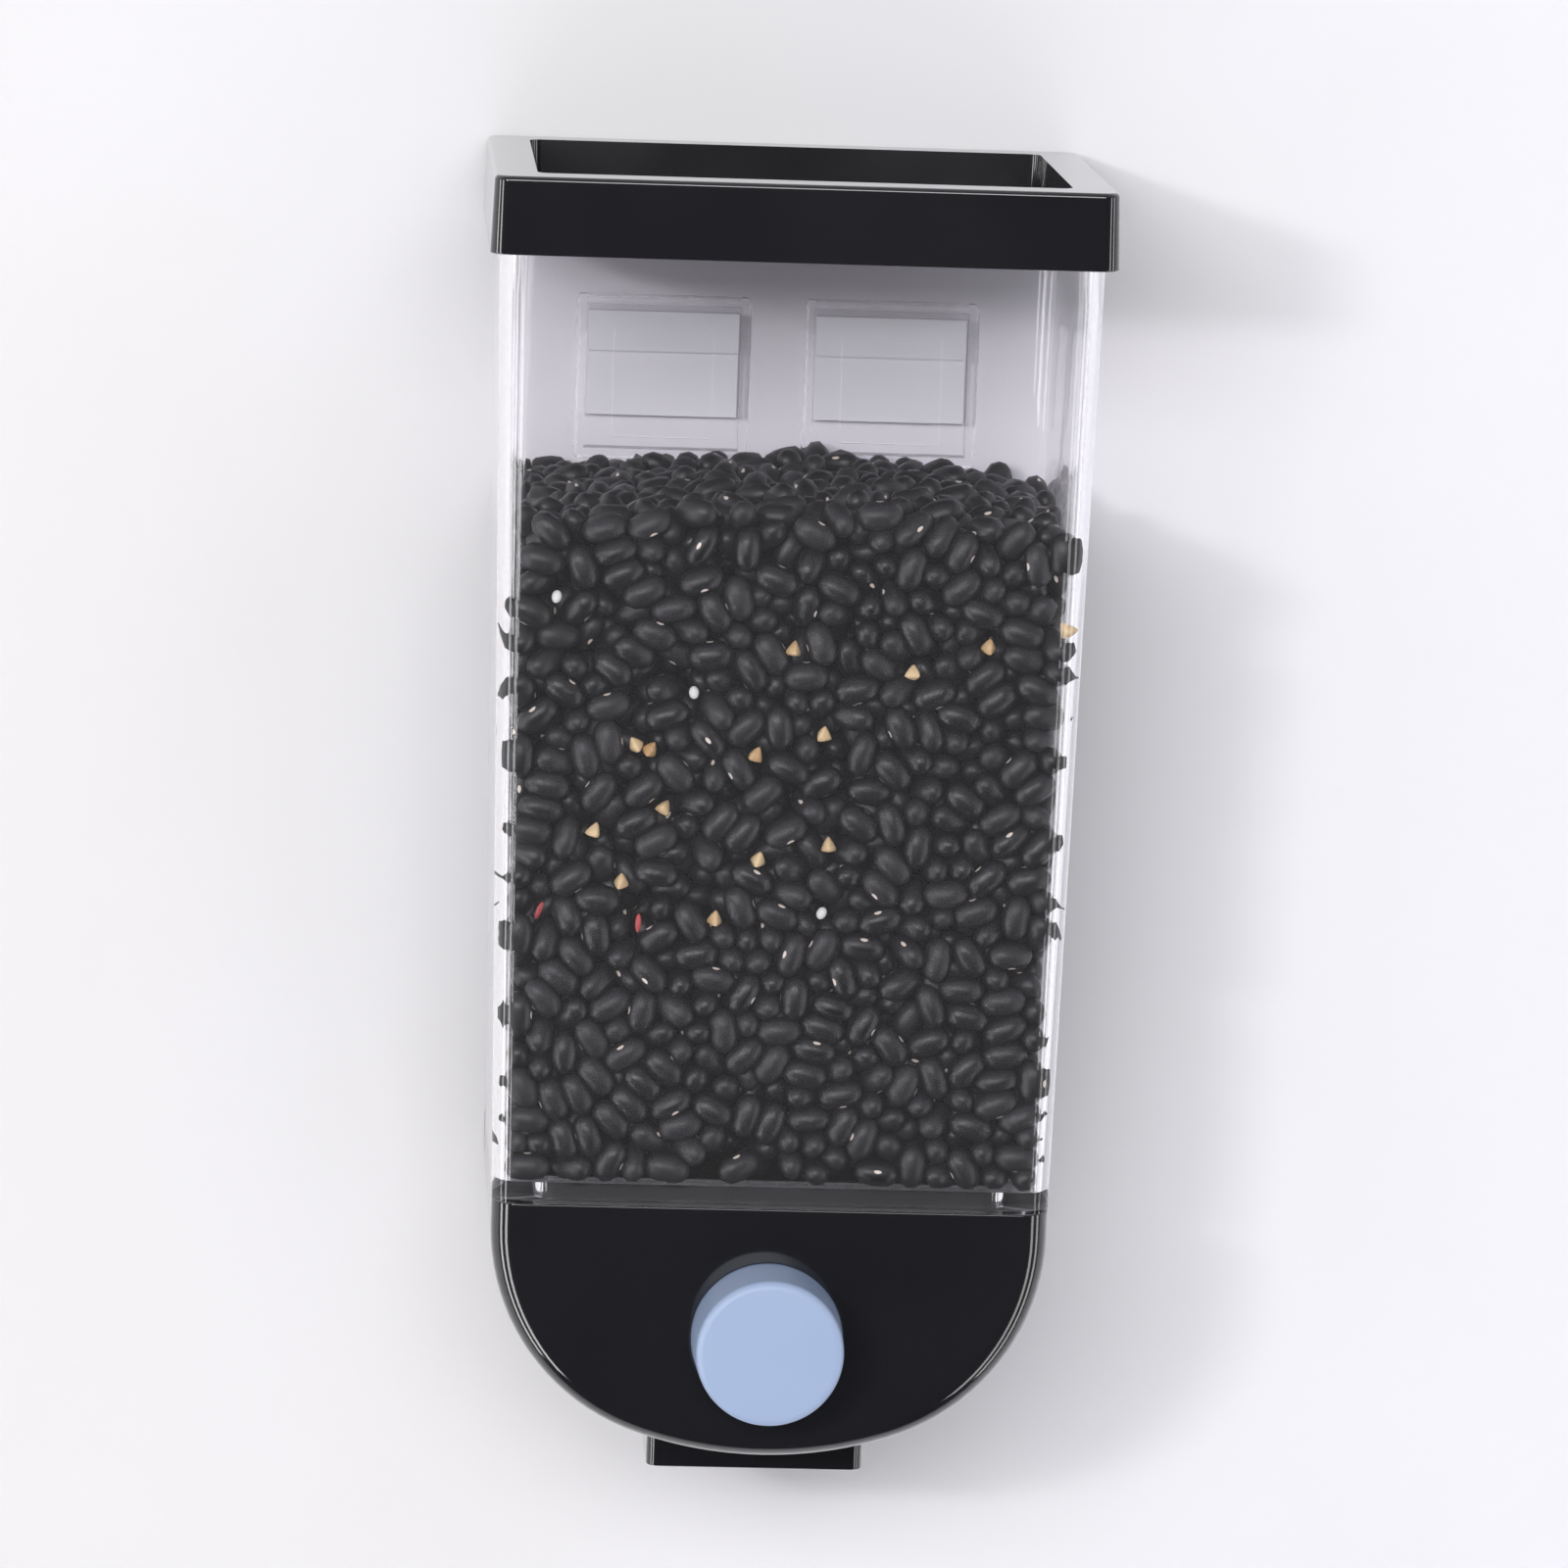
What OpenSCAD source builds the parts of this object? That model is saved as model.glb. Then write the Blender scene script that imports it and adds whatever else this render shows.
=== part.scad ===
// Wall-mounted bulk food bin with a press button outlet.
// Front is -Y and the wall is the plane y = 0. The origin is on the back face, midway between
// the two wall plates. All sizes are in millimetres.

/* [Hopper] */
// Height of the clear hopper, from the base housing up to its shoulder
hopper_h = 183.5; // [150:0.5:230]
// Outside width at the bottom
hopper_bottom_w = 107.8; // [100:0.1:114]
// Outside width under the lid
hopper_top_w = 115.2; // [110:0.1:117]
// Outside depth at the bottom
hopper_bottom_d = 88.5; // [84:0.1:92]
// Outside depth under the lid
hopper_top_d = 92.8; // [90:0.1:94]
// Wall thickness
hopper_wall = 2.4; // [1.8:0.1:2.8]
// Outside corner radius at the bottom
hopper_bottom_r = 5; // [3.5:0.1:6]
// Outside corner radius under the lid
hopper_top_r = 8; // [5:0.1:10]
// Height of the clear ledge at the bottom
ledge_h = 4; // [3:0.1:6]
// How far the ledge reaches in from the wall
ledge_in = 6; // [4:0.1:7]
// Corner radius inside the ledge
ledge_r = 4; // [3:0.1:6]
// How far the rim steps in from the side and front faces
rim_step = 0.5; // [0.3:0.1:0.8]
// How far the rim steps in from the back face
rim_back_step = 2.2; // [2:0.1:3]
// Height of the shoulder that joins the rim to the body
shoulder_h = 2.5; // [2:0.1:4]
// Width of each snap tab under the hopper
tab_w = 10; // [6:0.5:14]
// Distance of a snap tab's centre from the middle
tab_x = 16; // [10:0.5:24]
// Length of a snap tab below the hopper
tab_h = 6.5; // [5.5:0.1:8]
// Thickness of a snap tab
tab_t = 1.6; // [1.2:0.1:2]
// How far a snap tab's barb stands out
barb = 0.8; // [0.5:0.1:0.9]
// Height of the barb
barb_h = 1.6; // [1.2:0.1:2]
// Length of the tip below the barb
barb_tip = 0.8; // [0.5:0.1:1.2]

/* [Lid] */
// How far the lid stands out past the hopper at each side
lid_side_over = 1.4; // [1:0.1:3]
// How far the lid stands out past the hopper in front
lid_front_over = 2.9; // [1:0.1:4]
// Height
lid_h = 14.8; // [14:0.1:18]
// Draft: how much each side grows towards the bottom
lid_draft = 0.5; // [0.1:0.05:0.6]
// Corner radius seen from above
lid_r = 3; // [2:0.1:4]
// Radius along the top edge
lid_edge = 0.9; // [0.4:0.1:1.4]
// Depth of the recess
recess_h = 11.5; // [8:0.1:12]
// How far the recess closes in towards its floor
recess_draft = 0.8; // [0.2:0.1:1.4]
// Corner radius of the recess
recess_r = 2.5; // [2:0.1:4]
// Wall thickness of the plug under the recess
plug_wall = 1.6; // [1.2:0.1:1.8]
// Thickness of the top over the rim
lid_top_t = 2.8; // [2:0.1:3]
// Height of the sealing ring
seal_h = 4; // [3:0.1:4.4]
// Width of the sealing ring at the sides
seal_side_w = 2; // [1:0.1:3]
// Width of the sealing ring in front
seal_front_w = 1.3; // [0.8:0.1:2]
// Width of the sealing ring at the back
seal_back_w = 2.4; // [1:0.1:3]
// How far the bead under the sealing ring stands out
bead_out = 0.7; // [0.4:0.1:1]
// Height of the bead
bead_h = 1.5; // [1:0.1:2]

/* [Wall plates] */
// Height of the lid's lower edge above the middle of the wall plates
plate_drop = 32.2; // [26:0.1:60]
// Width of a receiver on the back of the hopper
receiver_w = 35; // [33:0.5:38]
// Height of a receiver
receiver_h = 33; // [31:0.5:36]
// Distance of a receiver's centre from the middle
receiver_x = 22.8; // [21:0.1:26]
// Wall thickness of a receiver
receiver_wall = 2; // [1.6:0.1:2.4]
// Depth of a receiver's cavity
receiver_d = 5.2; // [4.2:0.1:5.6]
// Width of the raised panel on a receiver
panel_w = 20.5; // [16:0.5:24]
// Height of the raised panel
panel_h = 22; // [18:0.5:24]
// How far the raised panel stands out
panel_t = 0.8; // [0.4:0.1:1.2]
// How far the panel's middle lies below the receiver's
panel_drop = 1; // [0:0.1:2]
// Room under a wall plate, in which the hopper lifts off its hooks
lift_room = 6.5; // [6.2:0.1:8]
// Thickness of a wall plate
plate_t = 1.4; // [1.2:0.1:1.6]
// Thickness of an adhesive pad
pad_t = 0.8; // [0.5:0.1:0.9]
// Height of the bar below the hook
hook_bar_h = 3; // [2:0.1:4]
// Thickness of the hook's lip
hook_t = 1.7; // [1.4:0.1:1.8]
// Thickness of the lip that hangs on the hook
hang_lip_t = 1.4; // [1:0.1:1.5]

/* [Base housing] */
// Height from the top edge to the lowest point
base_h = 49.8; // [46:0.1:60]
// Straight height of the side before it curves in
base_side_h = 5.2; // [3:0.1:9]
// Radius of the bottom curve
base_bottom_r = 78; // [74:0.5:84]
// Radius round the front edge
base_edge_r = 5.5; // [4.6:0.1:6]
// Wall thickness
base_wall = 2.4; // [2:0.1:2.8]
// Thickness of the rear cover
rear_t = 2.4; // [2.2:0.1:3]
// Length of the screw bosses
boss_l = 14; // [10:0.5:20]
// Radius of the screw bosses
boss_r = 3.5; // [3:0.1:4]
// How far the screw bosses sink into the side wall
boss_sink = 0.5; // [0.3:0.1:1]
// Angle below level of the lower screw bosses on the side curve
lower_boss_angle = 50; // [44:1:56]
// Drop of the upper screw bosses below the top edge
upper_boss_drop = 8.5; // [7.6:0.1:12]
// Height of the shelves under the funnel's flange
shelf_h = 3; // [2:0.1:4]
// Length of a shelf
shelf_l = 14; // [8:0.5:18]
// How far a shelf stands out of the side wall
shelf_in = 3.5; // [2:0.1:5]
// Distance of a shelf's middle from the front face or from the screw bosses
shelf_end = 12; // [10:0.5:16]

/* [Funnel] */
// Wall thickness
funnel_wall = 1.8; // [1.4:0.1:2]
// Height of the spigot inside the hopper's ledge
spigot_h = 3.8; // [2.5:0.1:4]
// Thickness of the flange
flange_t = 1.8; // [1.4:0.1:2.2]
// Corner radius of the flange
flange_r = 4; // [3:0.1:6]
// Thickness of the gasket between hopper and flange
gasket_t = 1.2; // [0.8:0.1:1.6]
// Width of the throat
throat_w = 34; // [28:0.5:35]
// Depth of the throat
throat_d = 24; // [20:0.5:25]
// Corner radius of the throat
throat_r = 1.5; // [1:0.1:2.5]
// Distance of the throat's centre from the wall
throat_y = 41; // [39:0.5:42]
// Straight height of the throat above its flange
throat_h = 3; // [2.6:0.1:3.2]
// Thickness of the throat flange
throat_flange_t = 2; // [1.6:0.1:2.4]
// Radius of the spring seat
seat_r = 6.2; // [5.6:0.1:6.4]
// Length of the pin inside the spring
seat_pin_l = 4; // [2:0.5:6]

/* [Button] */
// Height of the button's centre above the housing's lowest point
button_z = 24.3; // [23:0.1:26]
// Radius at the front
button_front_r = 14.2; // [13.4:0.1:14.3]
// Radius where it enters the housing
button_base_r = 14.7; // [14.6:0.05:14.8]
// How far it stands out of the housing
button_out = 14; // [11.5:0.1:18]
// Radius round the front edge
button_edge = 1.5; // [0.6:0.1:1.6]
// Thickness of the front
button_front_t = 2.2; // [1.8:0.1:3]
// Side wall thickness at the front
button_wall = 1.9; // [1.7:0.1:2.1]
// How far the stop flange stands out behind the housing
stop_out = 0.8; // [0.5:0.05:0.9]
// Thickness of the stop flange
stop_t = 2; // [1.4:0.1:2.2]
// Travel of the button
travel = 10; // [8:0.1:10.2]
// Radius of the boss that takes the button screw
screw_boss_r = 3.5; // [3:0.1:4]
// Wall thickness of the guide ring
guide_wall = 1.8; // [1.4:0.1:2]
// Length of the guide ring
guide_l = 9.6; // [7:0.1:9.8]
// Height of the collar that holds the guide ring
collar_l = 6; // [4:0.1:7]
// Wall thickness of the collar
collar_wall = 1.5; // [1.2:0.1:1.6]

/* [Plunger] */
// Length of the plug inside the button
plunger_plug_l = 6.9; // [6:0.1:8]
// Thickness of the plate behind the button
plunger_plate_t = 3.4; // [3:0.1:3.8]
// Radius of the plate behind the button
plunger_plate_r = 9.5; // [8.5:0.1:10]
// Half width of the foot that carries the shutter
foot_half_w = 5.5; // [5:0.1:5.7]
// Floor thickness under the spring
plunger_floor_t = 3; // [2:0.1:3.4]
// Length of the spring's space while the button is out
spring_room = 21.9; // [20:0.1:23]
// Radius of the spring's wire
wire_r = 0.45; // [0.35:0.05:0.5]
// Radius of the spring, to the middle of its wire
spring_r = 4.6; // [4.3:0.1:4.8]
// Number of turns in the spring
spring_turns = 7.5; // [5:0.5:9]
// Thickness of the washer under the spring
washer_t = 0.6; // [0.4:0.1:1]

/* [Shutter and spout] */
// Thickness of the shutter plate
shutter_t = 2; // [1.4:0.1:2.2]
// Thickness of the shutter's upright tab
shutter_tab_t = 2; // [1.4:0.1:2.2]
// Width of the frame beside the shutter's window
shutter_side = 2.5; // [1.5:0.1:2.8]
// Length of the bar in front of the shutter's window
shutter_front = 3; // [2:0.1:4]
// How far the closed shutter laps past the throat
shutter_lap = 0.9; // [0.6:0.1:1.2]
// Height of the wiper under the throat
wiper_t = 0.8; // [0.5:0.1:1]
// Width of the wiper's lip
wiper_w = 2.2; // [1.5:0.1:2.4]
// Length of the track in front of the throat
track_front = 9; // [8:0.1:10]
// Thickness of the bar that stops the shutter
track_bar = 3; // [2.2:0.1:4]
// Distance of a track screw from the track's side edge
track_screw_side = 2.85; // [2.4:0.05:3.4]
// Distance of a track screw from the track's front or back edge
track_screw_end = 3.4; // [2.6:0.1:5]
// Outside width of the spout
spout_w = 42.6; // [40:0.1:43]
// Outside depth of the spout
spout_d = 34; // [31:0.1:36]
// How far the spout's middle lies in front of the throat's
spout_shift = 2; // [0:0.1:3]
// How far the spout reaches below the housing
spout_out = 8.7; // [5:0.1:20]
// Wall thickness of the spout
spout_wall = 1.8; // [1.4:0.1:2.2]
// Thickness of the spout's flange
spout_flange_t = 2; // [1.4:0.1:2.4]
// Corner radius of the spout
spout_r = 2.5; // [2:0.1:3.5]

/* [Screws] */
// Shank radius of the small screws
screw_r = 1.1; // [0.9:0.05:1.15]
// Head radius of the small screws
screw_head_r = 2.1; // [1.8:0.05:2.2]
// Head height of the small screws
screw_head_h = 1.3; // [1:0.05:1.5]
// Shank radius of the rear cover screws
rear_screw_r = 1.4; // [1.2:0.05:1.5]
// Head radius of the rear cover screws
rear_head_r = 2.6; // [2.3:0.05:2.7]
// Head height of the rear cover screws
rear_head_h = 1.2; // [0.9:0.05:1.3]
// Length of the rear cover screws below the head
rear_screw_l = 10; // [8:0.5:12]
// Shank radius of the button screw
button_screw_r = 1.3; // [1.1:0.05:1.4]
// Length of the button screw below the head
button_screw_l = 9; // [7:0.5:10]
// Half the distance between the two shutter screws
shutter_screw_x = 3; // [2.8:0.1:3.2]
// Head radius of the shutter screws
shutter_head_r = 1.9; // [1.7:0.05:2]
// Depth of the cross recess in a head
cross_deep = 0.7; // [0.4:0.1:0.8]
// Width of the cross recess
cross_w = 0.6; // [0.4:0.1:0.8]

/* [Clearances] */
// Radial clearance of running fits
run_gap = 0.08; // [0.04:0.01:0.1]
// Gap between pieces that seat in each other
seat_gap = 0.1; // [0.05:0.01:0.15]
// Gap round pieces that slide or lift off
slide_gap = 0.4; // [0.3:0.05:0.5]
// Gap between the lid and the hopper's shoulder
lid_gap = 0.2; // [0.1:0.05:0.3]
// Gap between the lid and the wall, at the lid's top
lid_wall_gap = 0.7; // [0.65:0.05:1]
// Gap between the hopper's rim and the lid's top
rim_gap = 0.6; // [0.3:0.1:2]
// Gap between the sealing ring and the rim
seal_gap = 0.25; // [0.1:0.05:0.3]
// Gap over the hooks of the wall plates
hook_gap = 1.5; // [1:0.1:2]
// Gap round the funnel's flange
flange_gap = 0.5; // [0.3:0.1:0.8]
// Gap round a snap tab's barb in its slot
snap_gap = 0.2; // [0.1:0.05:0.3]
// Gap round the spring, and between it and the pin inside it
spring_gap = 0.5; // [0.3:0.05:0.6]
// Gap round the washer under the spring
washer_gap = 0.3; // [0.2:0.05:0.4]
// Gap between the open shutter and the bar that stops it
stop_gap = 0.2; // [0.1:0.05:0.4]
// Gap between the spout and the heads of the track screws
spout_screw_gap = 0.75; // [0.4:0.05:1]
// Gap between the heads of the track screws and the housing's floor
floor_gap = 0.6; // [0.4:0.1:1]
// Radial gap of a screw in the hole that it bites into
thread_gap = 0.05; // [0.02:0.01:0.08]
// Radial gap of a screw in the hole that it passes through
pass_gap = 0.15; // [0.1:0.05:0.2]
// Distance of a screw's tip from the end of its hole
tip_gap = 0.2; // [0.1:0.1:0.4]

/* [Hidden] */

over = 1;           // how far a cut runs past the face it opens
slice = 0.01;       // thickness of the slices that a blend is stretched over
skin = 0.5;         // plastic left at the end of a blind screw hole
boss_floor = 1.5;   // plastic left at the end of a rear screw's hole
head_sink = 0.1;    // how far a rear screw's head lies below the cover
coil_gap = 0.05;    // gap at each end of the spring
plug_fit = 0.05;    // gap between the plug and its sealing ring
arc_steps = 8;      // straight steps in a rounded corner
curve_steps = 20;   // straight steps in each curve of the housing
edge_steps = 6;     // slices round the housing's front edge
hole_fn = 48;       // smoothness of round holes and pins
button_fn = 128;    // smoothness of the button and its ring

// Levels, from the middle of the wall plates
lid_z = plate_drop;                                   // lid's lower edge
lid_top = lid_z + lid_h;
shoulder_z = lid_z - lid_gap;
rim_top = lid_top - lid_top_t - rim_gap;
base_z = shoulder_z - hopper_h;                       // hopper's foot and housing's top edge
base_bottom = base_z - base_h;
axis_z = base_bottom + button_z;                      // button's axis

// Hopper
half_w = hopper_bottom_w / 2;
front_y = -hopper_bottom_d;
rim_half_w = hopper_top_w / 2 - rim_step;
rim_front = -hopper_top_d + rim_step;
rim_back = -rim_back_step;
rim_r = hopper_top_r - rim_step;
ledge_half_w = half_w - hopper_wall - ledge_in;
ledge_front = front_y + hopper_wall + ledge_in;
ledge_back = -hopper_wall - ledge_in;
barb_high = base_z - tab_h + barb_tip + barb_h;
barb_low = barb_high - barb_h;

// Lid: its skirt goes round the hopper's rim, and its plug goes down inside the rim
lid_half_w = hopper_top_w / 2 + lid_side_over;
lid_front = -hopper_top_d - lid_front_over;
lid_back = -lid_wall_gap;
plug_half_w = rim_half_w - hopper_wall - seal_gap - seal_side_w - plug_fit;
plug_front = rim_front + hopper_wall + seal_gap + seal_front_w + plug_fit;
plug_back = rim_back - hopper_wall - seal_gap - seal_back_w - plug_fit;
recess_half_w = plug_half_w - plug_wall;
recess_front = plug_front + plug_wall;
recess_back = plug_back - plug_wall;
recess_floor = lid_top - recess_h;
plug_bottom = recess_floor - plug_wall;
seal_low = plug_bottom + bead_h + seat_gap;

// Receivers and plates
plate_half_w = receiver_w / 2 - receiver_wall - slide_gap;
cavity_h = receiver_h - 2 * receiver_wall;
plate_half_h = cavity_h / 2 - lift_room;
hook_top = cavity_h / 2 - hook_gap;
hang_lip_z = plate_half_h + seat_gap;
hook_back = -hang_lip_t - slide_gap;
hook_front = hook_back - hook_t;

// Base housing outline: two side curves that run into one wide bottom curve
curve_z = base_z - base_side_h;
bottom_centre_z = base_bottom + base_bottom_r;
curve_drop = curve_z - bottom_centre_z;
side_r = (pow(base_bottom_r, 2) - pow(half_w, 2) - pow(curve_drop, 2)) / (2 * (base_bottom_r - half_w));
side_x = half_w - side_r;
meet_angle = atan2(-curve_drop, side_x);
meet_x = side_x + (side_r - base_wall) * cos(meet_angle);
inner_front = front_y + base_wall;
boss_inset = base_wall + boss_r - boss_sink;
upper_boss = [half_w - boss_inset, base_z - upper_boss_drop];
lower_boss = [side_x + (side_r - boss_inset) * cos(lower_boss_angle),
              curve_z - (side_r - boss_inset) * sin(lower_boss_angle)];
shelf_y = [front_y + shelf_end, -rear_t - boss_l - shelf_end];

// Funnel's mouth
gasket_z = base_z - gasket_t;
flange_z = gasket_z - flange_t;
flange_half_w = half_w - base_wall - flange_gap;
flange_front = inner_front + seat_gap + tab_t + flange_gap;
flange_back = -rear_t - seat_gap - tab_t - flange_gap;
spigot_half_w = ledge_half_w - seat_gap;
spigot_front = ledge_front + seat_gap;
spigot_back = ledge_back - seat_gap;
spigot_r = ledge_r - seat_gap;
throat_front = -throat_y - throat_d / 2;
throat_back = -throat_y + throat_d / 2;

// Spout, track and shutter: the screw heads clear the housing's floor, and the stack stands on them
spout_front = -throat_y - spout_shift - spout_d / 2;
spout_back = spout_front + spout_d;
spout_bottom = base_bottom - spout_out;
track_screw_x = spout_w / 2 + spout_screw_gap + screw_head_r;
track_half_w = track_screw_x + track_screw_side;
spout_flange_z = floor_under(track_screw_x + screw_head_r) + floor_gap + screw_head_h;
track_z = spout_flange_z + spout_flange_t;
shutter_z = track_z + slide_gap;
wiper_z = shutter_z + shutter_t + seat_gap;
throat_flange_z = wiper_z + wiper_t;
throat_flange_top = throat_flange_z + throat_flange_t;
throat_top = throat_flange_top + throat_h;
shutter_back = throat_back + shutter_lap + seat_gap;
track_y0 = throat_front - track_front;
track_y1 = shutter_back + travel + stop_gap + track_bar;
track_screw_y = [track_y0 + track_screw_end, track_y1 - track_screw_end];
shutter_half_w = throat_w / 2 + shutter_side;
window_back = throat_front - shutter_lap;
window_front = window_back - travel - shutter_lap;
neck_back = window_front - shutter_front;

// Button and plunger
button_front = front_y - button_out;
stop_front = inner_front;
stop_back = stop_front + stop_t;
stop_r = button_base_r + stop_out;
guide_r = stop_r + run_gap;
guide_out_r = guide_r + guide_wall;
collar_r = guide_out_r + seat_gap;
cup_r = button_front_r - button_wall;
cup_floor = button_front + button_front_t;
plug_end = stop_back - plunger_plug_l;
plunger_plug_r = cup_r - seat_gap;
plunger_back = stop_back + plunger_plate_t;
pocket_floor = plug_end + plunger_floor_t;
pocket_r = spring_r + wire_r + spring_gap;
washer_y = pocket_floor + washer_t;
seat_front = washer_y + spring_room;
pin_r = spring_r - wire_r - spring_gap;
foot_top = axis_z - pocket_r;
shutter_screw_z = shutter_z + shutter_t + shutter_head_r;
shutter_head_y = plunger_back + shutter_tab_t;

function arc(cx, cy, r, from, to, steps) =
    [for (i = [0:steps]) let (a = from + (to - from) * i / steps) [cx + r * cos(a), cy + r * sin(a)]];

// Rectangle seen from above, centred on x = 0, with rounded corners
function rounded(half, front, back, r) = concat(
    arc(half - r, back - r, r, 0, 90, arc_steps),
    arc(r - half, back - r, r, 90, 180, arc_steps),
    arc(r - half, front + r, r, 180, 270, arc_steps),
    arc(half - r, front + r, r, 270, 360, arc_steps));

// Housing outline seen from the front, drawn in by an inset all round except at the top edge
function base_outline(inset) = concat(
    [[half_w - inset, base_z]],
    arc(side_x, curve_z, side_r - inset, 0, -meet_angle, curve_steps),
    arc(0, bottom_centre_z, base_bottom_r - inset, -meet_angle, meet_angle - 180, curve_steps),
    arc(-side_x, curve_z, side_r - inset, meet_angle - 180, -180, curve_steps),
    [[inset - half_w, base_z]]);

// Level of the housing's floor, inside, at a distance from the middle
function floor_under(x) = x < meet_x
    ? bottom_centre_z - sqrt(pow(base_bottom_r - base_wall, 2) - pow(x, 2))
    : curve_z - sqrt(pow(side_r - base_wall, 2) - pow(x - side_x, 2));

module rounded_slab(half, front, back, r, low, high) {
    translate([0, 0, low]) linear_extrude(high - low) polygon(rounded(half, front, back, r));
}

// Ring between two rounded outlines, each [half width, front, back, corner radius]
module rounded_ring(outer, inner, low, high) {
    difference() {
        rounded_slab(outer[0], outer[1], outer[2], outer[3], low, high);
        rounded_slab(inner[0], inner[1], inner[2], inner[3], low - over, high + over);
    }
}

// Blend from one rounded outline at low to another at high
module rounded_taper(bottom, top, low, high) {
    hull() {
        rounded_slab(bottom[0], bottom[1], bottom[2], bottom[3], low, low + slice);
        rounded_slab(top[0], top[1], top[2], top[3], high - slice, high);
    }
}

// Cylinder along Y between two distances, about the point [x, z]
module rod_y(at, r, from, to, fn = hole_fn) {
    translate([at[0], to, at[1]]) rotate([90, 0, 0]) cylinder(r = r, h = to - from, $fn = fn);
}

// Plate in the housing's outline, from one distance to another
module base_slab(inset, from, to) {
    translate([0, to, 0]) rotate([90, 0, 0]) linear_extrude(to - from) polygon(base_outline(inset));
}

// Solid in the housing's outline with a rounded front edge
module base_body(inset, front, back, edge) {
    hull() {
        base_slab(inset, back - slice, back);
        for (i = [0:edge_steps]) {
            a = 90 * i / edge_steps;
            y = front + edge * (1 - sin(a));
            base_slab(inset + edge * (1 - cos(a)), y, y + slice);
        }
    }
}

// Box from one corner to the other
module block(low, high) {
    translate(low) cube(high - low);
}

// Cross recess in a screw head, along the head's own axis
module cross(head_r) {
    for (turn = [0, 90])
        rotate([0, 0, turn]) cube([head_r * 1.2, cross_w, 2 * cross_deep], center = true);
}

// ---- Wall plates ----

module wall_plate(x) {
    color("whitesmoke") translate([x - plate_half_w, 0, 0]) rotate([90, 0, 90])
        linear_extrude(2 * plate_half_w) polygon([
            [-pad_t, -plate_half_h], [-pad_t, plate_half_h], [hook_back, plate_half_h],
            [hook_back, hook_top], [hook_front, hook_top], [hook_front, plate_half_h - hook_bar_h],
            [-pad_t - plate_t, plate_half_h - hook_bar_h], [-pad_t - plate_t, -plate_half_h]]);
}

module adhesive_pad(x) {
    color("gainsboro")
        block([x - plate_half_w, -pad_t, -plate_half_h], [x + plate_half_w, 0, plate_half_h]);
}

module left_wall_plate() {
    wall_plate(-receiver_x);
}

module right_wall_plate() {
    wall_plate(receiver_x);
}

module left_adhesive_pad() {
    adhesive_pad(-receiver_x);
}

module right_adhesive_pad() {
    adhesive_pad(receiver_x);
}

// ---- Hopper ----

module receiver_outside(x) {
    half = receiver_w / 2;
    front = -receiver_d - receiver_wall;
    block([x - half, front, -receiver_h / 2], [x + half, -hopper_wall / 2, receiver_h / 2]);
    block([x - panel_w / 2, front - panel_t, -panel_drop - panel_h / 2],
          [x + panel_w / 2, front + over, -panel_drop + panel_h / 2]);
}

module receiver_cavity(x) {
    half = receiver_w / 2 - receiver_wall;
    block([x - half, -receiver_d, -cavity_h / 2], [x + half, over, hang_lip_z]);
    block([x - half, -receiver_d, 0], [x + half, -hang_lip_t, cavity_h / 2]);
}

// Snap tab at the front (side = 1) or at the back (side = -1)
module snap_tab(x, side) {
    face = side == 1 ? inner_front + seat_gap : -rear_t - seat_gap;
    inside = face + side * tab_t;
    catch = face - side * barb;
    block([x - tab_w / 2, min(face, inside), base_z - tab_h],
          [x + tab_w / 2, max(face, inside), base_z + over]);
    block([x - tab_w / 2, min(face, catch), barb_low],
          [x + tab_w / 2, max(face, catch) + slice, barb_high]);
}

// Slots in a wall between two distances, which the barbs snap into
module snap_slots(from, to) {
    for (x = [-tab_x, tab_x])
        block([x - tab_w / 2 - snap_gap, from, barb_low - snap_gap],
              [x + tab_w / 2 + snap_gap, to, barb_high + snap_gap]);
}

module hopper() {
    w = hopper_wall;
    rim = [rim_half_w, rim_front, rim_back, rim_r];
    rim_in = [rim_half_w - w, rim_front + w, rim_back - w, rim_r - w];
    ledge = [ledge_half_w, ledge_front, ledge_back, ledge_r];
    bottom = [half_w, front_y, 0, hopper_bottom_r];
    top = [hopper_top_w / 2, -hopper_top_d, 0, hopper_top_r];
    shoulder_low = shoulder_z - shoulder_h;
    color("lavender", 0.35) difference() {
        union() {
            difference() {
                rounded_taper(bottom, top, base_z, shoulder_z);
                rounded_taper([bottom[0] - w, bottom[1] + w, -w, bottom[3] - w],
                              [top[0] - w, top[1] + w, -w, top[3] - w], base_z, shoulder_z);
                rounded_slab(rim_in[0], rim_in[1], rim_in[2], rim_in[3], shoulder_low, shoulder_z + over);
                rounded_slab(ledge[0], ledge[1], ledge[2], ledge[3], base_z - over, base_z + ledge_h);
            }
            rounded_ring([top[0] - w / 2, top[1] + w / 2, -w / 2, top[3] - w / 2], rim_in,
                         shoulder_low, shoulder_z);
            rounded_ring(rim, rim_in, shoulder_z - shoulder_h / 2, rim_top);
            rounded_ring([half_w - w / 2, front_y + w / 2, -w / 2, bottom[3] - w / 2], ledge,
                         base_z, base_z + ledge_h);
            for (x = [-receiver_x, receiver_x]) receiver_outside(x);
            for (x = [-tab_x, tab_x], side = [-1, 1]) snap_tab(x, side);
        }
        for (x = [-receiver_x, receiver_x]) receiver_cavity(x);
    }
}

module hopper_gasket() {
    color("dimgray") rounded_ring([flange_half_w, flange_front, flange_back, flange_r],
        [spigot_half_w + seat_gap, spigot_front - seat_gap, spigot_back + seat_gap, spigot_r + seat_gap],
        gasket_z, base_z);
}

// ---- Funnel ----

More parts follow.
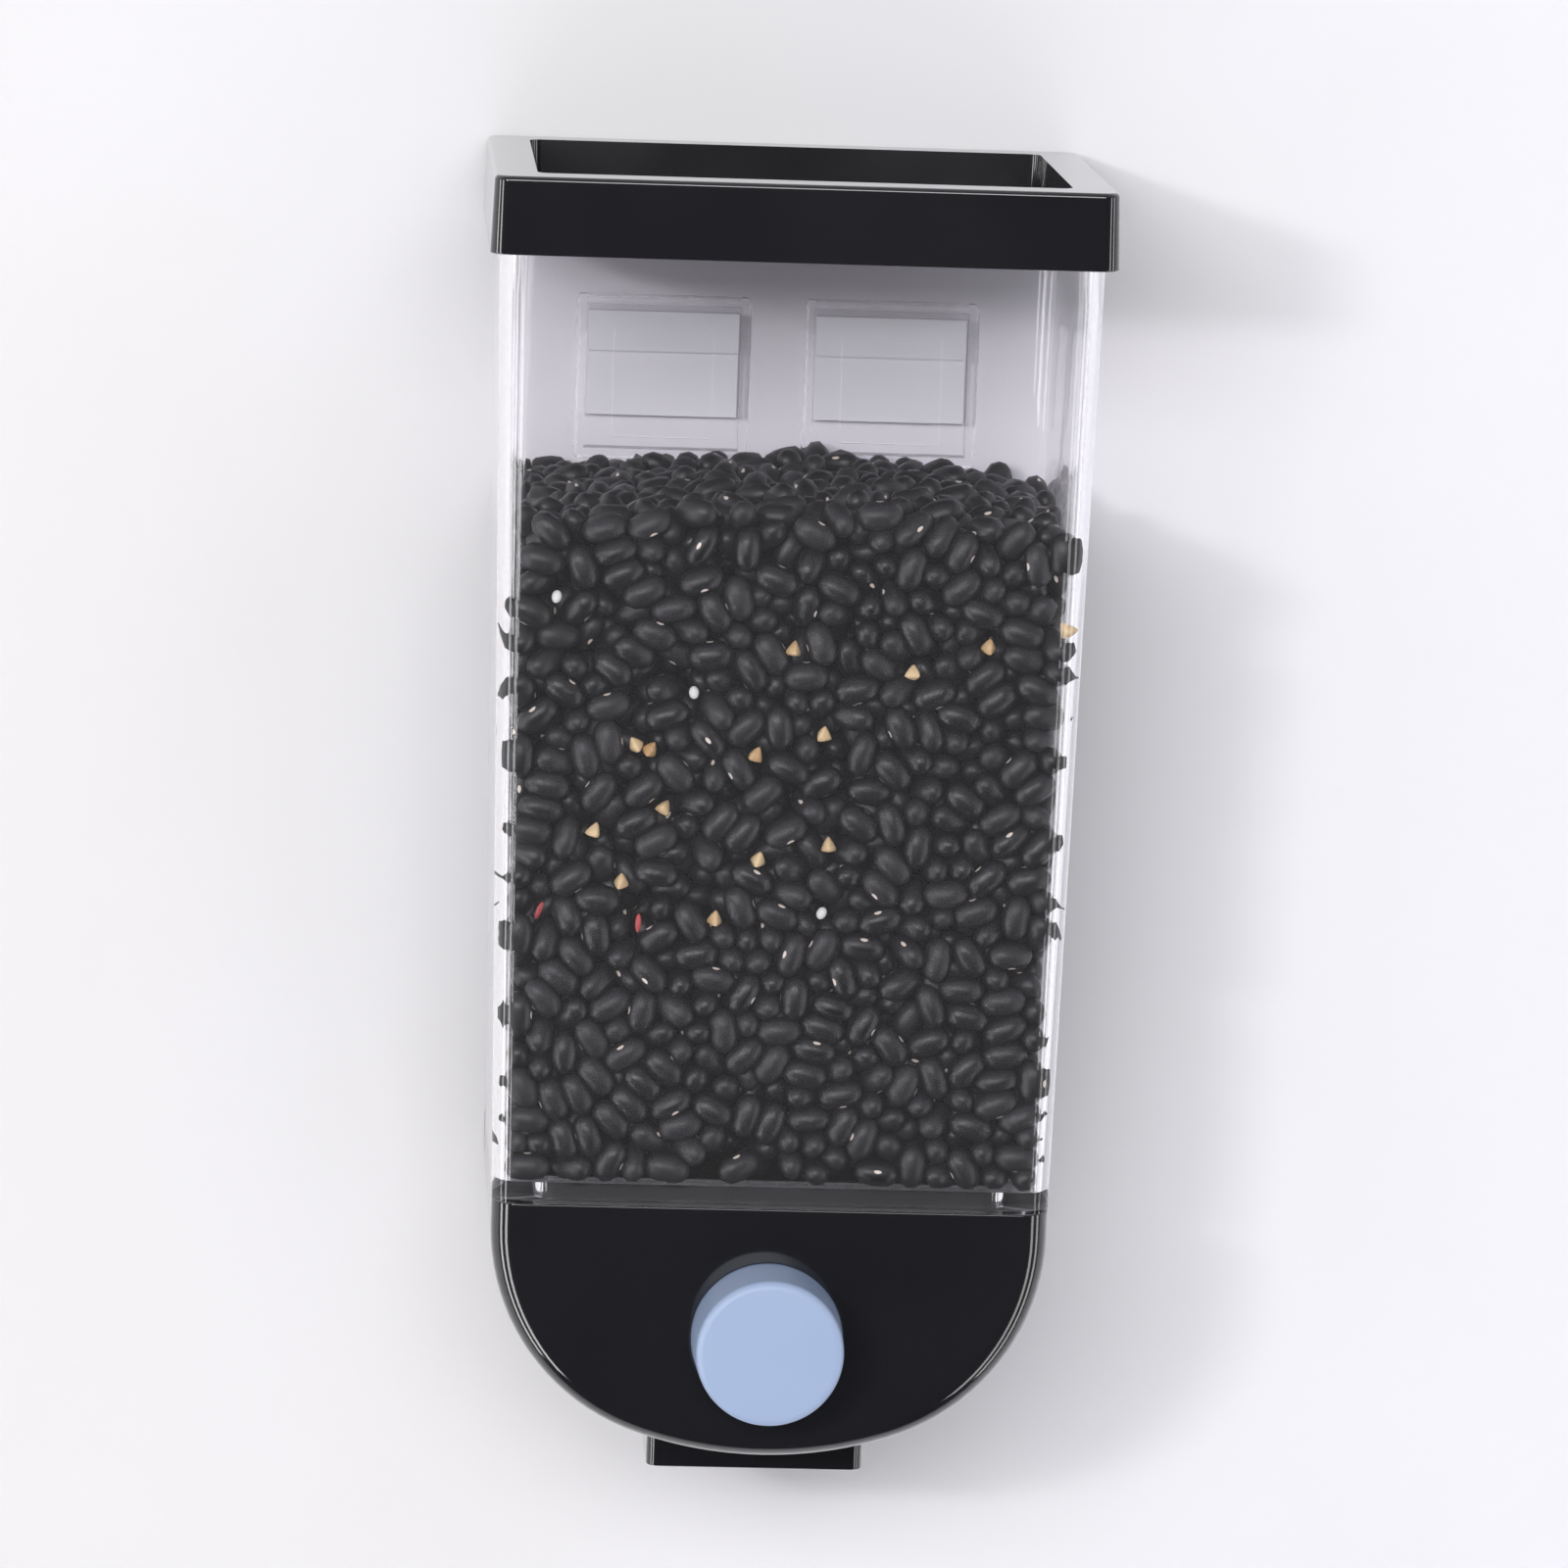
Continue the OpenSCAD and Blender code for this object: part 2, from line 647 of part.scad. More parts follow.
module funnel() {
    w = funnel_wall;
    mouth = [spigot_half_w, spigot_front, spigot_back, spigot_r];
    mouth_in = [mouth[0] - w, mouth[1] + w, mouth[2] - w, mouth[3] - w];
    throat = [throat_w / 2 + w, throat_front - w, throat_back + w, throat_r + w];
    throat_in = [throat_w / 2, throat_front, throat_back, throat_r];
    mouth_top = base_z + spigot_h;
    color([0.12, 0.12, 0.13]) difference() {
        union() {
            rounded_slab(mouth[0], mouth[1], mouth[2], mouth[3], flange_z, mouth_top);
            rounded_slab(flange_half_w, flange_front, flange_back, flange_r, flange_z, gasket_z);
            rounded_taper(throat, mouth, throat_top, flange_z);
            rounded_slab(throat[0], throat[1], throat[2], throat[3], throat_flange_z, throat_top);
            rounded_slab(track_half_w, track_y0, track_y1, throat_r, throat_flange_z, throat_flange_top);
            rod_y([0, axis_z], seat_r, seat_front, throat_front - w / 2);
            rod_y([0, axis_z], pin_r, seat_front - seat_pin_l, throat_front - w / 2);
        }
        rounded_slab(mouth_in[0], mouth_in[1], mouth_in[2], mouth_in[3], flange_z - slice,
                     mouth_top + over);
        rounded_taper(throat_in, mouth_in, throat_top, flange_z);
        rounded_slab(throat_in[0], throat_in[1], throat_in[2], throat_in[3], throat_flange_z - over,
                     throat_top + slice);
        track_screw_holes(throat_flange_z - over, throat_flange_top + over);
    }
}

module track_screw_holes(low, high) {
    for (x = [-track_screw_x, track_screw_x], y = track_screw_y)
        translate([x, y, low]) cylinder(r = screw_r + thread_gap, h = high - low, $fn = hole_fn);
}

// ---- Base housing ----

// Shelf on the side wall that the funnel's flange rests on
module shelf(side, y) {
    outside = half_w - base_wall / 2;
    inside = half_w - base_wall - shelf_in;
    block([side == 1 ? inside : -outside, y - shelf_l / 2, flange_z - shelf_h],
          [side == 1 ? outside : -inside, y + shelf_l / 2, flange_z]);
}

module base_housing() {
    bore_r = button_base_r + run_gap;
    edge_in = base_edge_r - base_wall;
    color([0.12, 0.12, 0.13]) difference() {
        union() {
            difference() {
                base_body(0, front_y, -rear_t, base_edge_r);
                base_body(base_wall, inner_front, 0, edge_in);
                block([base_wall - half_w, inner_front + edge_in, base_z - over],
                      [half_w - base_wall, over, base_z + over]);
                block([base_edge_r - half_w, inner_front, base_z - over],
                      [half_w - base_edge_r, over, base_z + over]);
            }
            rod_y([0, axis_z], collar_r + collar_wall, inner_front - slice, inner_front + collar_l,
                  button_fn);
            for (side = [-1, 1]) {
                for (y = shelf_y) shelf(side, y);
                for (at = [upper_boss, lower_boss])
                    rod_y([side * at[0], at[1]], boss_r, -rear_t - boss_l, -rear_t);
            }
        }
        rod_y([0, axis_z], collar_r, inner_front, 0, button_fn);
        rod_y([0, axis_z], bore_r, front_y - over, inner_front + over, button_fn);
        for (side = [-1, 1], at = [upper_boss, lower_boss])
            rod_y([side * at[0], at[1]], rear_screw_r + thread_gap, -rear_t - boss_l + boss_floor, 0);
        rounded_slab(spout_w / 2 + slide_gap, spout_front - slide_gap, spout_back + slide_gap,
                     spout_r + slide_gap, base_bottom - over, axis_z - button_base_r);
        snap_slots(inner_front - barb - snap_gap, inner_front + slice);
    }
}

module rear_cover() {
    color([0.14, 0.14, 0.15]) difference() {
        base_slab(0, -rear_t, 0);
        for (side = [-1, 1], at = [upper_boss, lower_boss]) {
            rod_y([side * at[0], at[1]], rear_screw_r + pass_gap, -rear_t - over, over);
            rod_y([side * at[0], at[1]], rear_head_r + pass_gap, -rear_head_h - head_sink, over);
        }
        snap_slots(-rear_t - over, -rear_t + barb + snap_gap);
    }
}

module rear_screws() {
    head_low = -rear_head_h - head_sink;
    color("silver") for (side = [-1, 1], at = [upper_boss, lower_boss]) difference() {
        union() {
            rod_y([side * at[0], at[1]], rear_head_r, head_low, -head_sink);
            rod_y([side * at[0], at[1]], rear_screw_r, head_low - rear_screw_l, -head_sink - slice);
        }
        translate([side * at[0], -head_sink, at[1]]) rotate([90, 0, 0]) cross(rear_head_r);
    }
}

module button_guide() {
    color([0.2, 0.2, 0.22]) difference() {
        rod_y([0, axis_z], guide_out_r, inner_front, inner_front + guide_l, button_fn);
        rod_y([0, axis_z], guide_r, inner_front - over, inner_front + guide_l + over, button_fn);
    }
}

// ---- Outlet ----

module shutter_seal() {
    color("darkgray") rounded_ring(
        [throat_w / 2 + wiper_w, throat_front - wiper_w, throat_back + wiper_w, throat_r + wiper_w],
        [throat_w / 2, throat_front, throat_back, throat_r], wiper_z, throat_flange_z);
}

module shutter_track() {
    slot_half = shutter_half_w + slide_gap;
    color([0.18, 0.18, 0.2]) difference() {
        rounded_slab(track_half_w, track_y0, track_y1, throat_r, track_z, throat_flange_z);
        block([-slot_half, track_y0 - over, track_z - over],
              [slot_half, track_y1 - track_bar, throat_flange_z + over]);
        track_screw_holes(track_z - over, throat_flange_z + over);
    }
}

module outlet_spout() {
    half = spout_w / 2;
    w = spout_wall;
    color([0.12, 0.12, 0.13]) difference() {
        union() {
            rounded_slab(track_half_w, track_y0, track_y1, throat_r, spout_flange_z, track_z);
            rounded_slab(half, spout_front, spout_back, spout_r, spout_bottom, spout_flange_z + slice);
        }
        rounded_slab(half - w, spout_front + w, spout_back - w, spout_r - w,
                     spout_bottom - over, track_z + over);
        track_screw_holes(spout_flange_z - over, track_z + over);
    }
}

module spout_screws() {
    shank_low = spout_flange_z - slice;
    color("silver") for (x = [-track_screw_x, track_screw_x], y = track_screw_y) {
        translate([x, y, spout_flange_z - screw_head_h]) difference() {
            cylinder(r = screw_head_r, h = screw_head_h, $fn = hole_fn);
            cross(screw_head_r);
        }
        translate([x, y, shank_low])
            cylinder(r = screw_r, h = throat_flange_top - tip_gap - shank_low, $fn = hole_fn);
    }
}

// ---- Button, plunger and shutter ----

module push_button() {
    e = button_edge;
    hole_r = button_screw_r + thread_gap;
    boss_back = plug_end - seat_gap;
    outside = concat(
        [[0, -button_front]],
        arc(button_front_r - e, -button_front - e, e, 90, 0, arc_steps),
        [[button_base_r, -front_y], [button_base_r, -stop_front], [stop_r, -stop_front], [stop_r, -stop_back],
         [cup_r, -stop_back], [cup_r, -cup_floor], [screw_boss_r, -cup_floor], [screw_boss_r, -boss_back],
         [hole_r, -boss_back], [hole_r, skin - cup_floor], [0, skin - cup_floor]]);
    color([0.67, 0.75, 0.87]) translate([0, 0, axis_z]) rotate([90, 0, 0])
        rotate_extrude($fn = button_fn) polygon(outside);
}

module plunger() {
    color([0.16, 0.16, 0.18]) difference() {
        union() {
            rod_y([0, axis_z], plunger_plug_r, plug_end, stop_back, button_fn);
            rod_y([0, axis_z], plunger_plate_r, stop_back - slice, plunger_back);
            block([-foot_half_w, stop_back + seat_gap, shutter_z], [foot_half_w, plunger_back, foot_top]);
        }
        rod_y([0, axis_z], pocket_r, pocket_floor, 0);
        rod_y([0, axis_z], button_screw_r + pass_gap, plug_end - over, 0);
        for (x = [-shutter_screw_x, shutter_screw_x])
            rod_y([x, shutter_screw_z], screw_r + thread_gap, stop_back + skin, 0);
    }
}

module spring_washer() {
    color("silver") difference() {
        rod_y([0, axis_z], pocket_r - washer_gap, pocket_floor, washer_y);
        rod_y([0, axis_z], button_screw_r + washer_gap, pocket_floor - over, washer_y + over);
    }
}

module button_screw() {
    head_top = washer_y + screw_head_h;
    color("silver") difference() {
        union() {
            rod_y([0, axis_z], screw_head_r, washer_y, head_top);
            rod_y([0, axis_z], button_screw_r, washer_y - button_screw_l, washer_y + slice);
        }
        translate([0, head_top, axis_z]) rotate([90, 0, 0]) cross(screw_head_r);
    }
}

module shutter_plate() {
    top = shutter_z + shutter_t;
    tab_back = plunger_back + shutter_tab_t;
    color("lightgray") difference() {
        union() {
            block([-shutter_half_w, neck_back, shutter_z], [shutter_half_w, shutter_back, top]);
            block([-foot_half_w, plunger_back, shutter_z], [foot_half_w, neck_back + over, top]);
            block([-foot_half_w, plunger_back, shutter_z], [foot_half_w, tab_back, foot_top]);
        }
        block([-throat_w / 2, window_front, shutter_z - over], [throat_w / 2, window_back, top + over]);
        for (x = [-shutter_screw_x, shutter_screw_x])
            rod_y([x, shutter_screw_z], screw_r + thread_gap, plunger_back - over, tab_back + over);
    }
}

module shutter_screws() {
    head_top = shutter_head_y + screw_head_h;
    color("silver") for (x = [-shutter_screw_x, shutter_screw_x]) difference() {
        union() {
            rod_y([x, shutter_screw_z], shutter_head_r, shutter_head_y, head_top);
            rod_y([x, shutter_screw_z], screw_r, stop_back + skin + tip_gap, shutter_head_y + slice);
        }
        translate([x, head_top, shutter_screw_z]) rotate([90, 0, 0]) cross(shutter_head_r);
    }
}

// Wire wound round the button's axis, as one tube with a ring every eighth of a turn
turn_steps = 8;
wire_sides = 6;
ring_count = spring_turns * turn_steps;
wire_start = washer_y + wire_r + coil_gap;
wire_lead = spring_room - 2 * (wire_r + coil_gap);

function wire_point(i) = let (a = 360 * i / turn_steps)
    [spring_r * cos(a), wire_start + wire_lead * i / ring_count, axis_z + spring_r * sin(a)];
function wire_ring(i) = let (a = 360 * i / turn_steps, c = wire_point(i))
    [for (k = [0:wire_sides - 1]) let (b = 360 * k / wire_sides)
        c + wire_r * [cos(b) * cos(a), sin(b), cos(b) * sin(a)]];

wire_gap = wire_lead / spring_turns - 2 * wire_r;
echo(least_gap_between_spring_turns = wire_gap);

module return_spring() {
    points = [for (i = [0:ring_count]) each wire_ring(i)];
    sides = [for (i = [0:ring_count - 1], k = [0:wire_sides - 1]) let (
            a = i * wire_sides + k, b = i * wire_sides + (k + 1) % wire_sides)
        each [[a, b, b + wire_sides], [a, b + wire_sides, a + wire_sides]]];
    last = ring_count * wire_sides;
    caps = [for (k = [1:wire_sides - 2]) each [[0, k + 1, k], [last, last + k, last + k + 1]]];
    color("silver") polyhedron(points, concat(sides, caps));
}

// ---- Lid ----

// Slice of the lid's outside, drawn in or out from its outline at the top edge
module lid_slice(grow, r, low) {
    rounded_slab(lid_half_w + grow, lid_front - grow, lid_back + grow, r, low, low + slice);
}

module plug_outside(low, high, grow) {
    r = recess_r + plug_wall + grow;
    rounded_slab(plug_half_w + grow, plug_front - grow, plug_back + grow, r, low, high);
}

module lid() {
    ease = 0.3 * lid_edge;
    skirt_half = rim_half_w + slide_gap;
    skirt_front = rim_front - slide_gap;
    skirt_back = rim_back + slide_gap;
    d = recess_draft;
    recess_low = [recess_half_w - d, recess_front + d, recess_back - d, recess_r];
    recess_high = [recess_half_w, recess_front, recess_back, recess_r];
    color([0.12, 0.12, 0.13]) difference() {
        hull() {
            lid_slice(-lid_edge, lid_r - lid_edge / 2, lid_top - slice);
            lid_slice(-ease, lid_r, lid_top - ease - slice);
            lid_slice(0, lid_r, lid_top - lid_edge - slice);
            lid_slice(lid_draft, lid_r + lid_draft, lid_z);
        }
        rounded_taper(recess_low, recess_high, recess_floor, lid_top + slice);
        difference() {
            rounded_slab(skirt_half, skirt_front, skirt_back, rim_r, lid_z - over, lid_top - lid_top_t);
            plug_outside(lid_z - 2 * over, lid_top, 0);
        }
        rounded_slab(skirt_half, skirt_front, skirt_back, rim_r, lid_z - over, plug_bottom);
    }
    color([0.12, 0.12, 0.13]) difference() {
        plug_outside(plug_bottom, plug_bottom + bead_h, bead_out);
        plug_outside(plug_bottom - over, plug_bottom + bead_h + over, -plug_wall / 2);
    }
}

module lid_seal() {
    inset = hopper_wall + seal_gap;
    color("whitesmoke") difference() {
        rounded_slab(rim_half_w - inset, rim_front + inset, rim_back - inset, rim_r - inset,
                     seal_low, seal_low + seal_h);
        plug_outside(plug_bottom, lid_top, plug_fit);
    }
}

left_wall_plate();
right_wall_plate();
left_adhesive_pad();
right_adhesive_pad();
hopper();
hopper_gasket();
funnel();
base_housing();
rear_cover();
rear_screws();
button_guide();
shutter_seal();
shutter_track();
outlet_spout();
spout_screws();
push_button();
plunger();
spring_washer();
button_screw();
shutter_plate();
shutter_screws();
return_spring();
lid();
lid_seal();
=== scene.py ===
import math

import bmesh
import bpy
import numpy as np
from mathutils import Matrix, Vector


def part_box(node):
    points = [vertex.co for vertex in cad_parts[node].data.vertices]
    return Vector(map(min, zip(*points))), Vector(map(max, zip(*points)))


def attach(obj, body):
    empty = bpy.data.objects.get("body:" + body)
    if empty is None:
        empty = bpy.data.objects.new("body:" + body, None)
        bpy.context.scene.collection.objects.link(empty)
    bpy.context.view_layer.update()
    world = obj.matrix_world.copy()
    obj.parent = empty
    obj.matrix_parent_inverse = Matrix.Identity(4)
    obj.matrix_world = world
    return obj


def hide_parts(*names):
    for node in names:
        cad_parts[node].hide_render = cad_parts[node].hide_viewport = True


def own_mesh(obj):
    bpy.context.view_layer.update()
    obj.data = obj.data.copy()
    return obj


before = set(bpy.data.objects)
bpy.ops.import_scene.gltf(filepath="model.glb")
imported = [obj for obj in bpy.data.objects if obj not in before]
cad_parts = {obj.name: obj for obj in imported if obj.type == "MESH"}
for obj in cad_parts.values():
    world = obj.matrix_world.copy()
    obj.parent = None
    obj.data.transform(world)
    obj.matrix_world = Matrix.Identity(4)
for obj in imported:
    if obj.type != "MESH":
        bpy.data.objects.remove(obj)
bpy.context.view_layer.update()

bpy.ops.object.select_all(action="DESELECT")
MM = 0.001


# ---- Camera ----
# The photograph's viewpoint: 1.6 m in front of the wall, a little to the left of the bin and above it,
# on a long lens, tipped down and rolled a little.
camera_place = Vector((-86.8, -1597.7, 175.6)) * MM
camera_yaw, camera_pitch, camera_roll = 0.0572, 0.1600, -0.0347
photo_size = 1600
sensor_size = 36
camera_data = bpy.data.cameras.new("camera")
camera_data.sensor_width = sensor_size
camera_data.lens = 183.87
camera_data.clip_start = 0.05
camera_data.clip_end = 50
camera = bpy.data.objects.new("camera", camera_data)
camera_turn = (Matrix.Rotation(-camera_yaw, 3, "Z")
               @ Matrix.Rotation(math.pi / 2 - camera_pitch, 3, "X")
               @ Matrix.Rotation(-camera_roll, 3, "Z"))
camera.location = camera_place
camera.rotation_euler = camera_turn.to_euler()
bpy.context.scene.collection.objects.link(camera)
bpy.context.scene.camera = camera
bpy.context.scene.view_settings.view_transform = "Standard"


# ---- Wall and floor ----
# The bin hangs on a painted wall over a pale floor. The wall's paint carries painted light: it goes lighter
# and bluer towards the right. From behind, the wall lets everything through, so that the back of the bin can
# be seen, and the floor doesn't show in the gloss of the bin.
def new_material(name):
    """A node material, as (material, nodes, links, Principled shader, output)."""
    material = bpy.data.materials.new(name)
    material.use_nodes = True
    nodes = material.node_tree.nodes
    return material, nodes, material.node_tree.links, nodes["Principled BSDF"], nodes["Material Output"]


def object_noise(nodes, links, lumps):
    """Noise over the object's own coordinates, with a number of lumps per metre."""
    place = nodes.new("ShaderNodeTexCoord")
    noise = nodes.new("ShaderNodeTexNoise")
    noise.inputs["Scale"].default_value = lumps
    noise.inputs["Detail"].default_value = 3
    links.new(place.outputs["Object"], noise.inputs["Vector"])
    return noise.outputs["Fac"]


def ramp(nodes, links, factor, stops):
    """Colour ramp on a factor, with its stops as (position, colour)."""
    node = nodes.new("ShaderNodeValToRGB")
    while len(node.color_ramp.elements) < len(stops):
        node.color_ramp.elements.new(0.5)
    for element, (position, colour) in zip(node.color_ramp.elements, stops):
        element.position = position
        element.color = (*colour, 1)
    links.new(factor, node.inputs["Fac"])
    return node.outputs["Color"]


def spread(nodes, links, factor, low, high):
    """A factor from 0 to 1, spread between two values."""
    node = nodes.new("ShaderNodeMapRange")
    node.inputs["To Min"].default_value = low
    node.inputs["To Max"].default_value = high
    links.new(factor, node.inputs["Value"])
    return node.outputs["Result"]


def bump(nodes, links, height, distance):
    """Normal from a height between 0 and 1, over a distance."""
    node = nodes.new("ShaderNodeBump")
    node.inputs["Distance"].default_value = distance
    links.new(height, node.inputs["Height"])
    return node.outputs["Normal"]


def open_where(nodes, links, factor, shader, colour=(1, 1, 1)):
    """A shader that lets light straight through where the factor is 1."""
    through = nodes.new("ShaderNodeBsdfTransparent")
    through.inputs["Color"].default_value = (*colour, 1)
    mix = nodes.new("ShaderNodeMixShader")
    links.new(factor, mix.inputs["Fac"])
    links.new(shader, mix.inputs[1])
    links.new(through.outputs["BSDF"], mix.inputs[2])
    return mix.outputs["Shader"]


wall_gap = 0.4 * MM
room_size = 8
floor_size = 2.4
floor_level = -1.1
surface_lumps = 6
# Painted light: how fast the wall's paint goes lighter and bluer towards the right, per metre.
painted_light_per_metre = 2.0
paint, paint_nodes, paint_links, paint_shader, paint_output = new_material("wall_paint")
# Painted light across the wall: the paint lightens and blues along X, for light that falls brighter on the
# right. The noise on top is the paint's own uneven tone.
paint_split = paint_nodes.new("ShaderNodeSeparateXYZ")
paint_links.new(paint_nodes.new("ShaderNodeTexCoord").outputs["Object"], paint_split.inputs["Vector"])
painted_light_across = paint_nodes.new("ShaderNodeMath")
painted_light_across.operation = "MULTIPLY_ADD"
painted_light_across.inputs[1].default_value = painted_light_per_metre
paint_links.new(paint_split.outputs["X"], painted_light_across.inputs[0])
paint_links.new(object_noise(paint_nodes, paint_links, surface_lumps), painted_light_across.inputs[2])
paint_and_painted_light = ramp(paint_nodes, paint_links, painted_light_across.outputs["Value"],
                    [(0.2, (0.865, 0.85, 0.857)), (0.8, (0.915, 0.91, 0.95))])
paint_links.new(paint_and_painted_light, paint_shader.inputs["Base Color"])
paint_shader.inputs["Roughness"].default_value = 0.8
paint_shader.inputs["Specular IOR Level"].default_value = 0.2
paint_facing = paint_nodes.new("ShaderNodeNewGeometry").outputs["Backfacing"]
paint_links.new(open_where(paint_nodes, paint_links, paint_facing, paint_shader.outputs["BSDF"]),
                paint_output.inputs["Surface"])

lino, lino_nodes, lino_links, lino_shader, lino_output = new_material("pale_floor")
lino_colour = ramp(lino_nodes, lino_links, object_noise(lino_nodes, lino_links, surface_lumps),
                   [(0.3, (0.85, 0.845, 0.86)), (0.7, (0.88, 0.875, 0.89))])
lino_links.new(lino_colour, lino_shader.inputs["Base Color"])
lino_shader.inputs["Roughness"].default_value = 0.6
lino_ray = lino_nodes.new("ShaderNodeLightPath").outputs["Is Glossy Ray"]
lino_links.new(open_where(lino_nodes, lino_links, lino_ray, lino_shader.outputs["BSDF"]),
               lino_output.inputs["Surface"])

bpy.ops.mesh.primitive_plane_add(size=room_size, location=(0, wall_gap, 0), rotation=(math.pi / 2, 0, 0))
wall = bpy.context.object
wall.name = "wall"
bpy.ops.mesh.primitive_plane_add(size=floor_size, location=(0, -floor_size / 2, floor_level))
floor = bpy.context.object
floor.name = "floor"
for surface, material in ((wall, paint), (floor, lino)):
    surface.data.materials.append(material)
bpy.ops.object.select_all(action="DESELECT")


# ---- Wall plates and pads ----
# Two white moulded plates with a hook at the top, each stuck to the wall by a foam pad. The receivers on
# the hopper's back hang on their hooks.
def moulded_group():
    """Node group for a moulded plastic skin: slow drifts of gloss and tone, and the mould's grain."""
    group = bpy.data.node_groups.new("moulded_skin", "ShaderNodeTree")
    for name, value in (("Grain", 900.0), ("Drift", 25.0), ("Smoothest", 0.2), ("Rise", 0.1)):
        socket = group.interface.new_socket(name, in_out="INPUT", socket_type="NodeSocketFloat")
        socket.default_value = value
    group.interface.new_socket("Roughness", in_out="OUTPUT", socket_type="NodeSocketFloat")
    group.interface.new_socket("Height", in_out="OUTPUT", socket_type="NodeSocketFloat")
    group.interface.new_socket("Tone", in_out="OUTPUT", socket_type="NodeSocketFloat")
    nodes, links = group.nodes, group.links
    given = nodes.new("NodeGroupInput")
    made = nodes.new("NodeGroupOutput")
    place = nodes.new("ShaderNodeTexCoord")
    drift, grain = nodes.new("ShaderNodeTexNoise"), nodes.new("ShaderNodeTexNoise")
    drift.inputs["Detail"].default_value = 4
    grain.inputs["Detail"].default_value = 2
    for noise, scale in ((drift, "Drift"), (grain, "Grain")):
        links.new(place.outputs["Object"], noise.inputs["Vector"])
        links.new(given.outputs[scale], noise.inputs["Scale"])
    scaled = nodes.new("ShaderNodeMath")
    scaled.operation = "MULTIPLY_ADD"
    links.new(drift.outputs["Fac"], scaled.inputs[0])
    links.new(given.outputs["Rise"], scaled.inputs[1])
    links.new(given.outputs["Smoothest"], scaled.inputs[2])
    links.new(scaled.outputs["Value"], made.inputs["Roughness"])
    links.new(grain.outputs["Fac"], made.inputs["Height"])
    links.new(drift.outputs["Fac"], made.inputs["Tone"])
    return group


moulded_skin = moulded_group()


def moulded_plastic(name, dark, light, smoothest, rise, grain=900.0, grain_depth=0.004 * MM):
    """Opaque moulded plastic between two close tones, with the mould's grain. Its roughness drifts
    from the smoothest up by the rise."""
    material, nodes, links, shader, _ = new_material(name)
    skin = nodes.new("ShaderNodeGroup")
    skin.node_tree = moulded_skin
    skin.inputs["Grain"].default_value = grain
    skin.inputs["Smoothest"].default_value = smoothest
    skin.inputs["Rise"].default_value = rise
    colour = ramp(nodes, links, skin.outputs["Tone"], [(0.3, dark), (0.7, light)])
    links.new(colour, shader.inputs["Base Color"])
    links.new(skin.outputs["Roughness"], shader.inputs["Roughness"])
    links.new(bump(nodes, links, skin.outputs["Height"], grain_depth), shader.inputs["Normal"])
    return material


def finish_node(name, material):
    """Gives a CAD node its material."""
    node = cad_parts[name]
    for slot in node.material_slots:
        slot.material = material
    if not node.material_slots:
        node.data.materials.append(material)


white_plastic = moulded_plastic("white_plastic", (0.84, 0.84, 0.86), (0.90, 0.90, 0.92), 0.35, 0.15)
foam = moulded_plastic("foam", (0.55, 0.55, 0.57), (0.68, 0.68, 0.70), 0.85, 0.1,
                       grain=2500.0, grain_depth=0.08 * MM)
for side in ("left", "right"):
    finish_node(side + "_wall_plate", white_plastic)
    finish_node(side + "_adhesive_pad", foam)


# ---- Base housing ----
# Glossy black moulded shell with a round bottom and a rounded front edge, bored for the button and open
# below for the spout. The funnel drops in from above.
def pick(piece, kind, test):
    """Selects the vertices, edges or faces whose middle passes the test, in edit mode."""
    mesh = bmesh.from_edit_mesh(piece.data)
    mesh.select_mode = {kind}
    bpy.context.tool_settings.mesh_select_mode = (kind == "VERT", kind == "EDGE", kind == "FACE")
    items = {"VERT": mesh.verts, "EDGE": mesh.edges, "FACE": mesh.faces}[kind]
    for item in [*mesh.verts, *mesh.edges, *mesh.faces]:
        item.select = False
    for item in items:
        if kind == "VERT":
            chosen = test(item.co)
        elif kind == "EDGE":
            chosen = test((item.verts[0].co + item.verts[1].co) / 2, item.verts[1].co - item.verts[0].co)
        else:
            chosen = test(item.calc_center_median(), item.normal)
        if chosen:
            item.select_set(True)
    mesh.select_flush_mode()
    bmesh.update_edit_mesh(piece.data)


def start_piece(name):
    """An empty mesh piece at the origin, in edit mode."""
    piece = bpy.data.objects.new(name, bpy.data.meshes.new(name))
    bpy.context.scene.collection.objects.link(piece)
    bpy.ops.object.select_all(action="DESELECT")
    bpy.context.view_layer.objects.active = piece
    piece.select_set(True)
    bpy.ops.object.mode_set(mode="EDIT")
    return piece


def round_edges(piece, radius, steps, test):
    """Bevels the edges that pass the test, in edit mode."""
    pick(piece, "EDGE", test)
    bpy.ops.mesh.bevel(offset=radius, offset_type="OFFSET", segments=steps, profile=0.5,
                       affect="EDGES", clamp_overlap=True)


def modify(piece, kind, **settings):
    """Adds a modifier and applies it."""
    modifier = piece.modifiers.new(kind.lower(), kind)
    for key, value in settings.items():
        setattr(modifier, key, value)
    bpy.ops.object.select_all(action="DESELECT")
    bpy.context.view_layer.objects.active = piece
    piece.select_set(True)
    bpy.ops.object.modifier_apply(modifier=modifier.name)


def cut(piece, cutter, operation="DIFFERENCE"):
    """Cuts one mesh with another, or joins it on, and takes the other away."""
    modify(piece, "BOOLEAN", object=cutter, operation=operation, solver="EXACT")
    bpy.data.objects.remove(cutter)


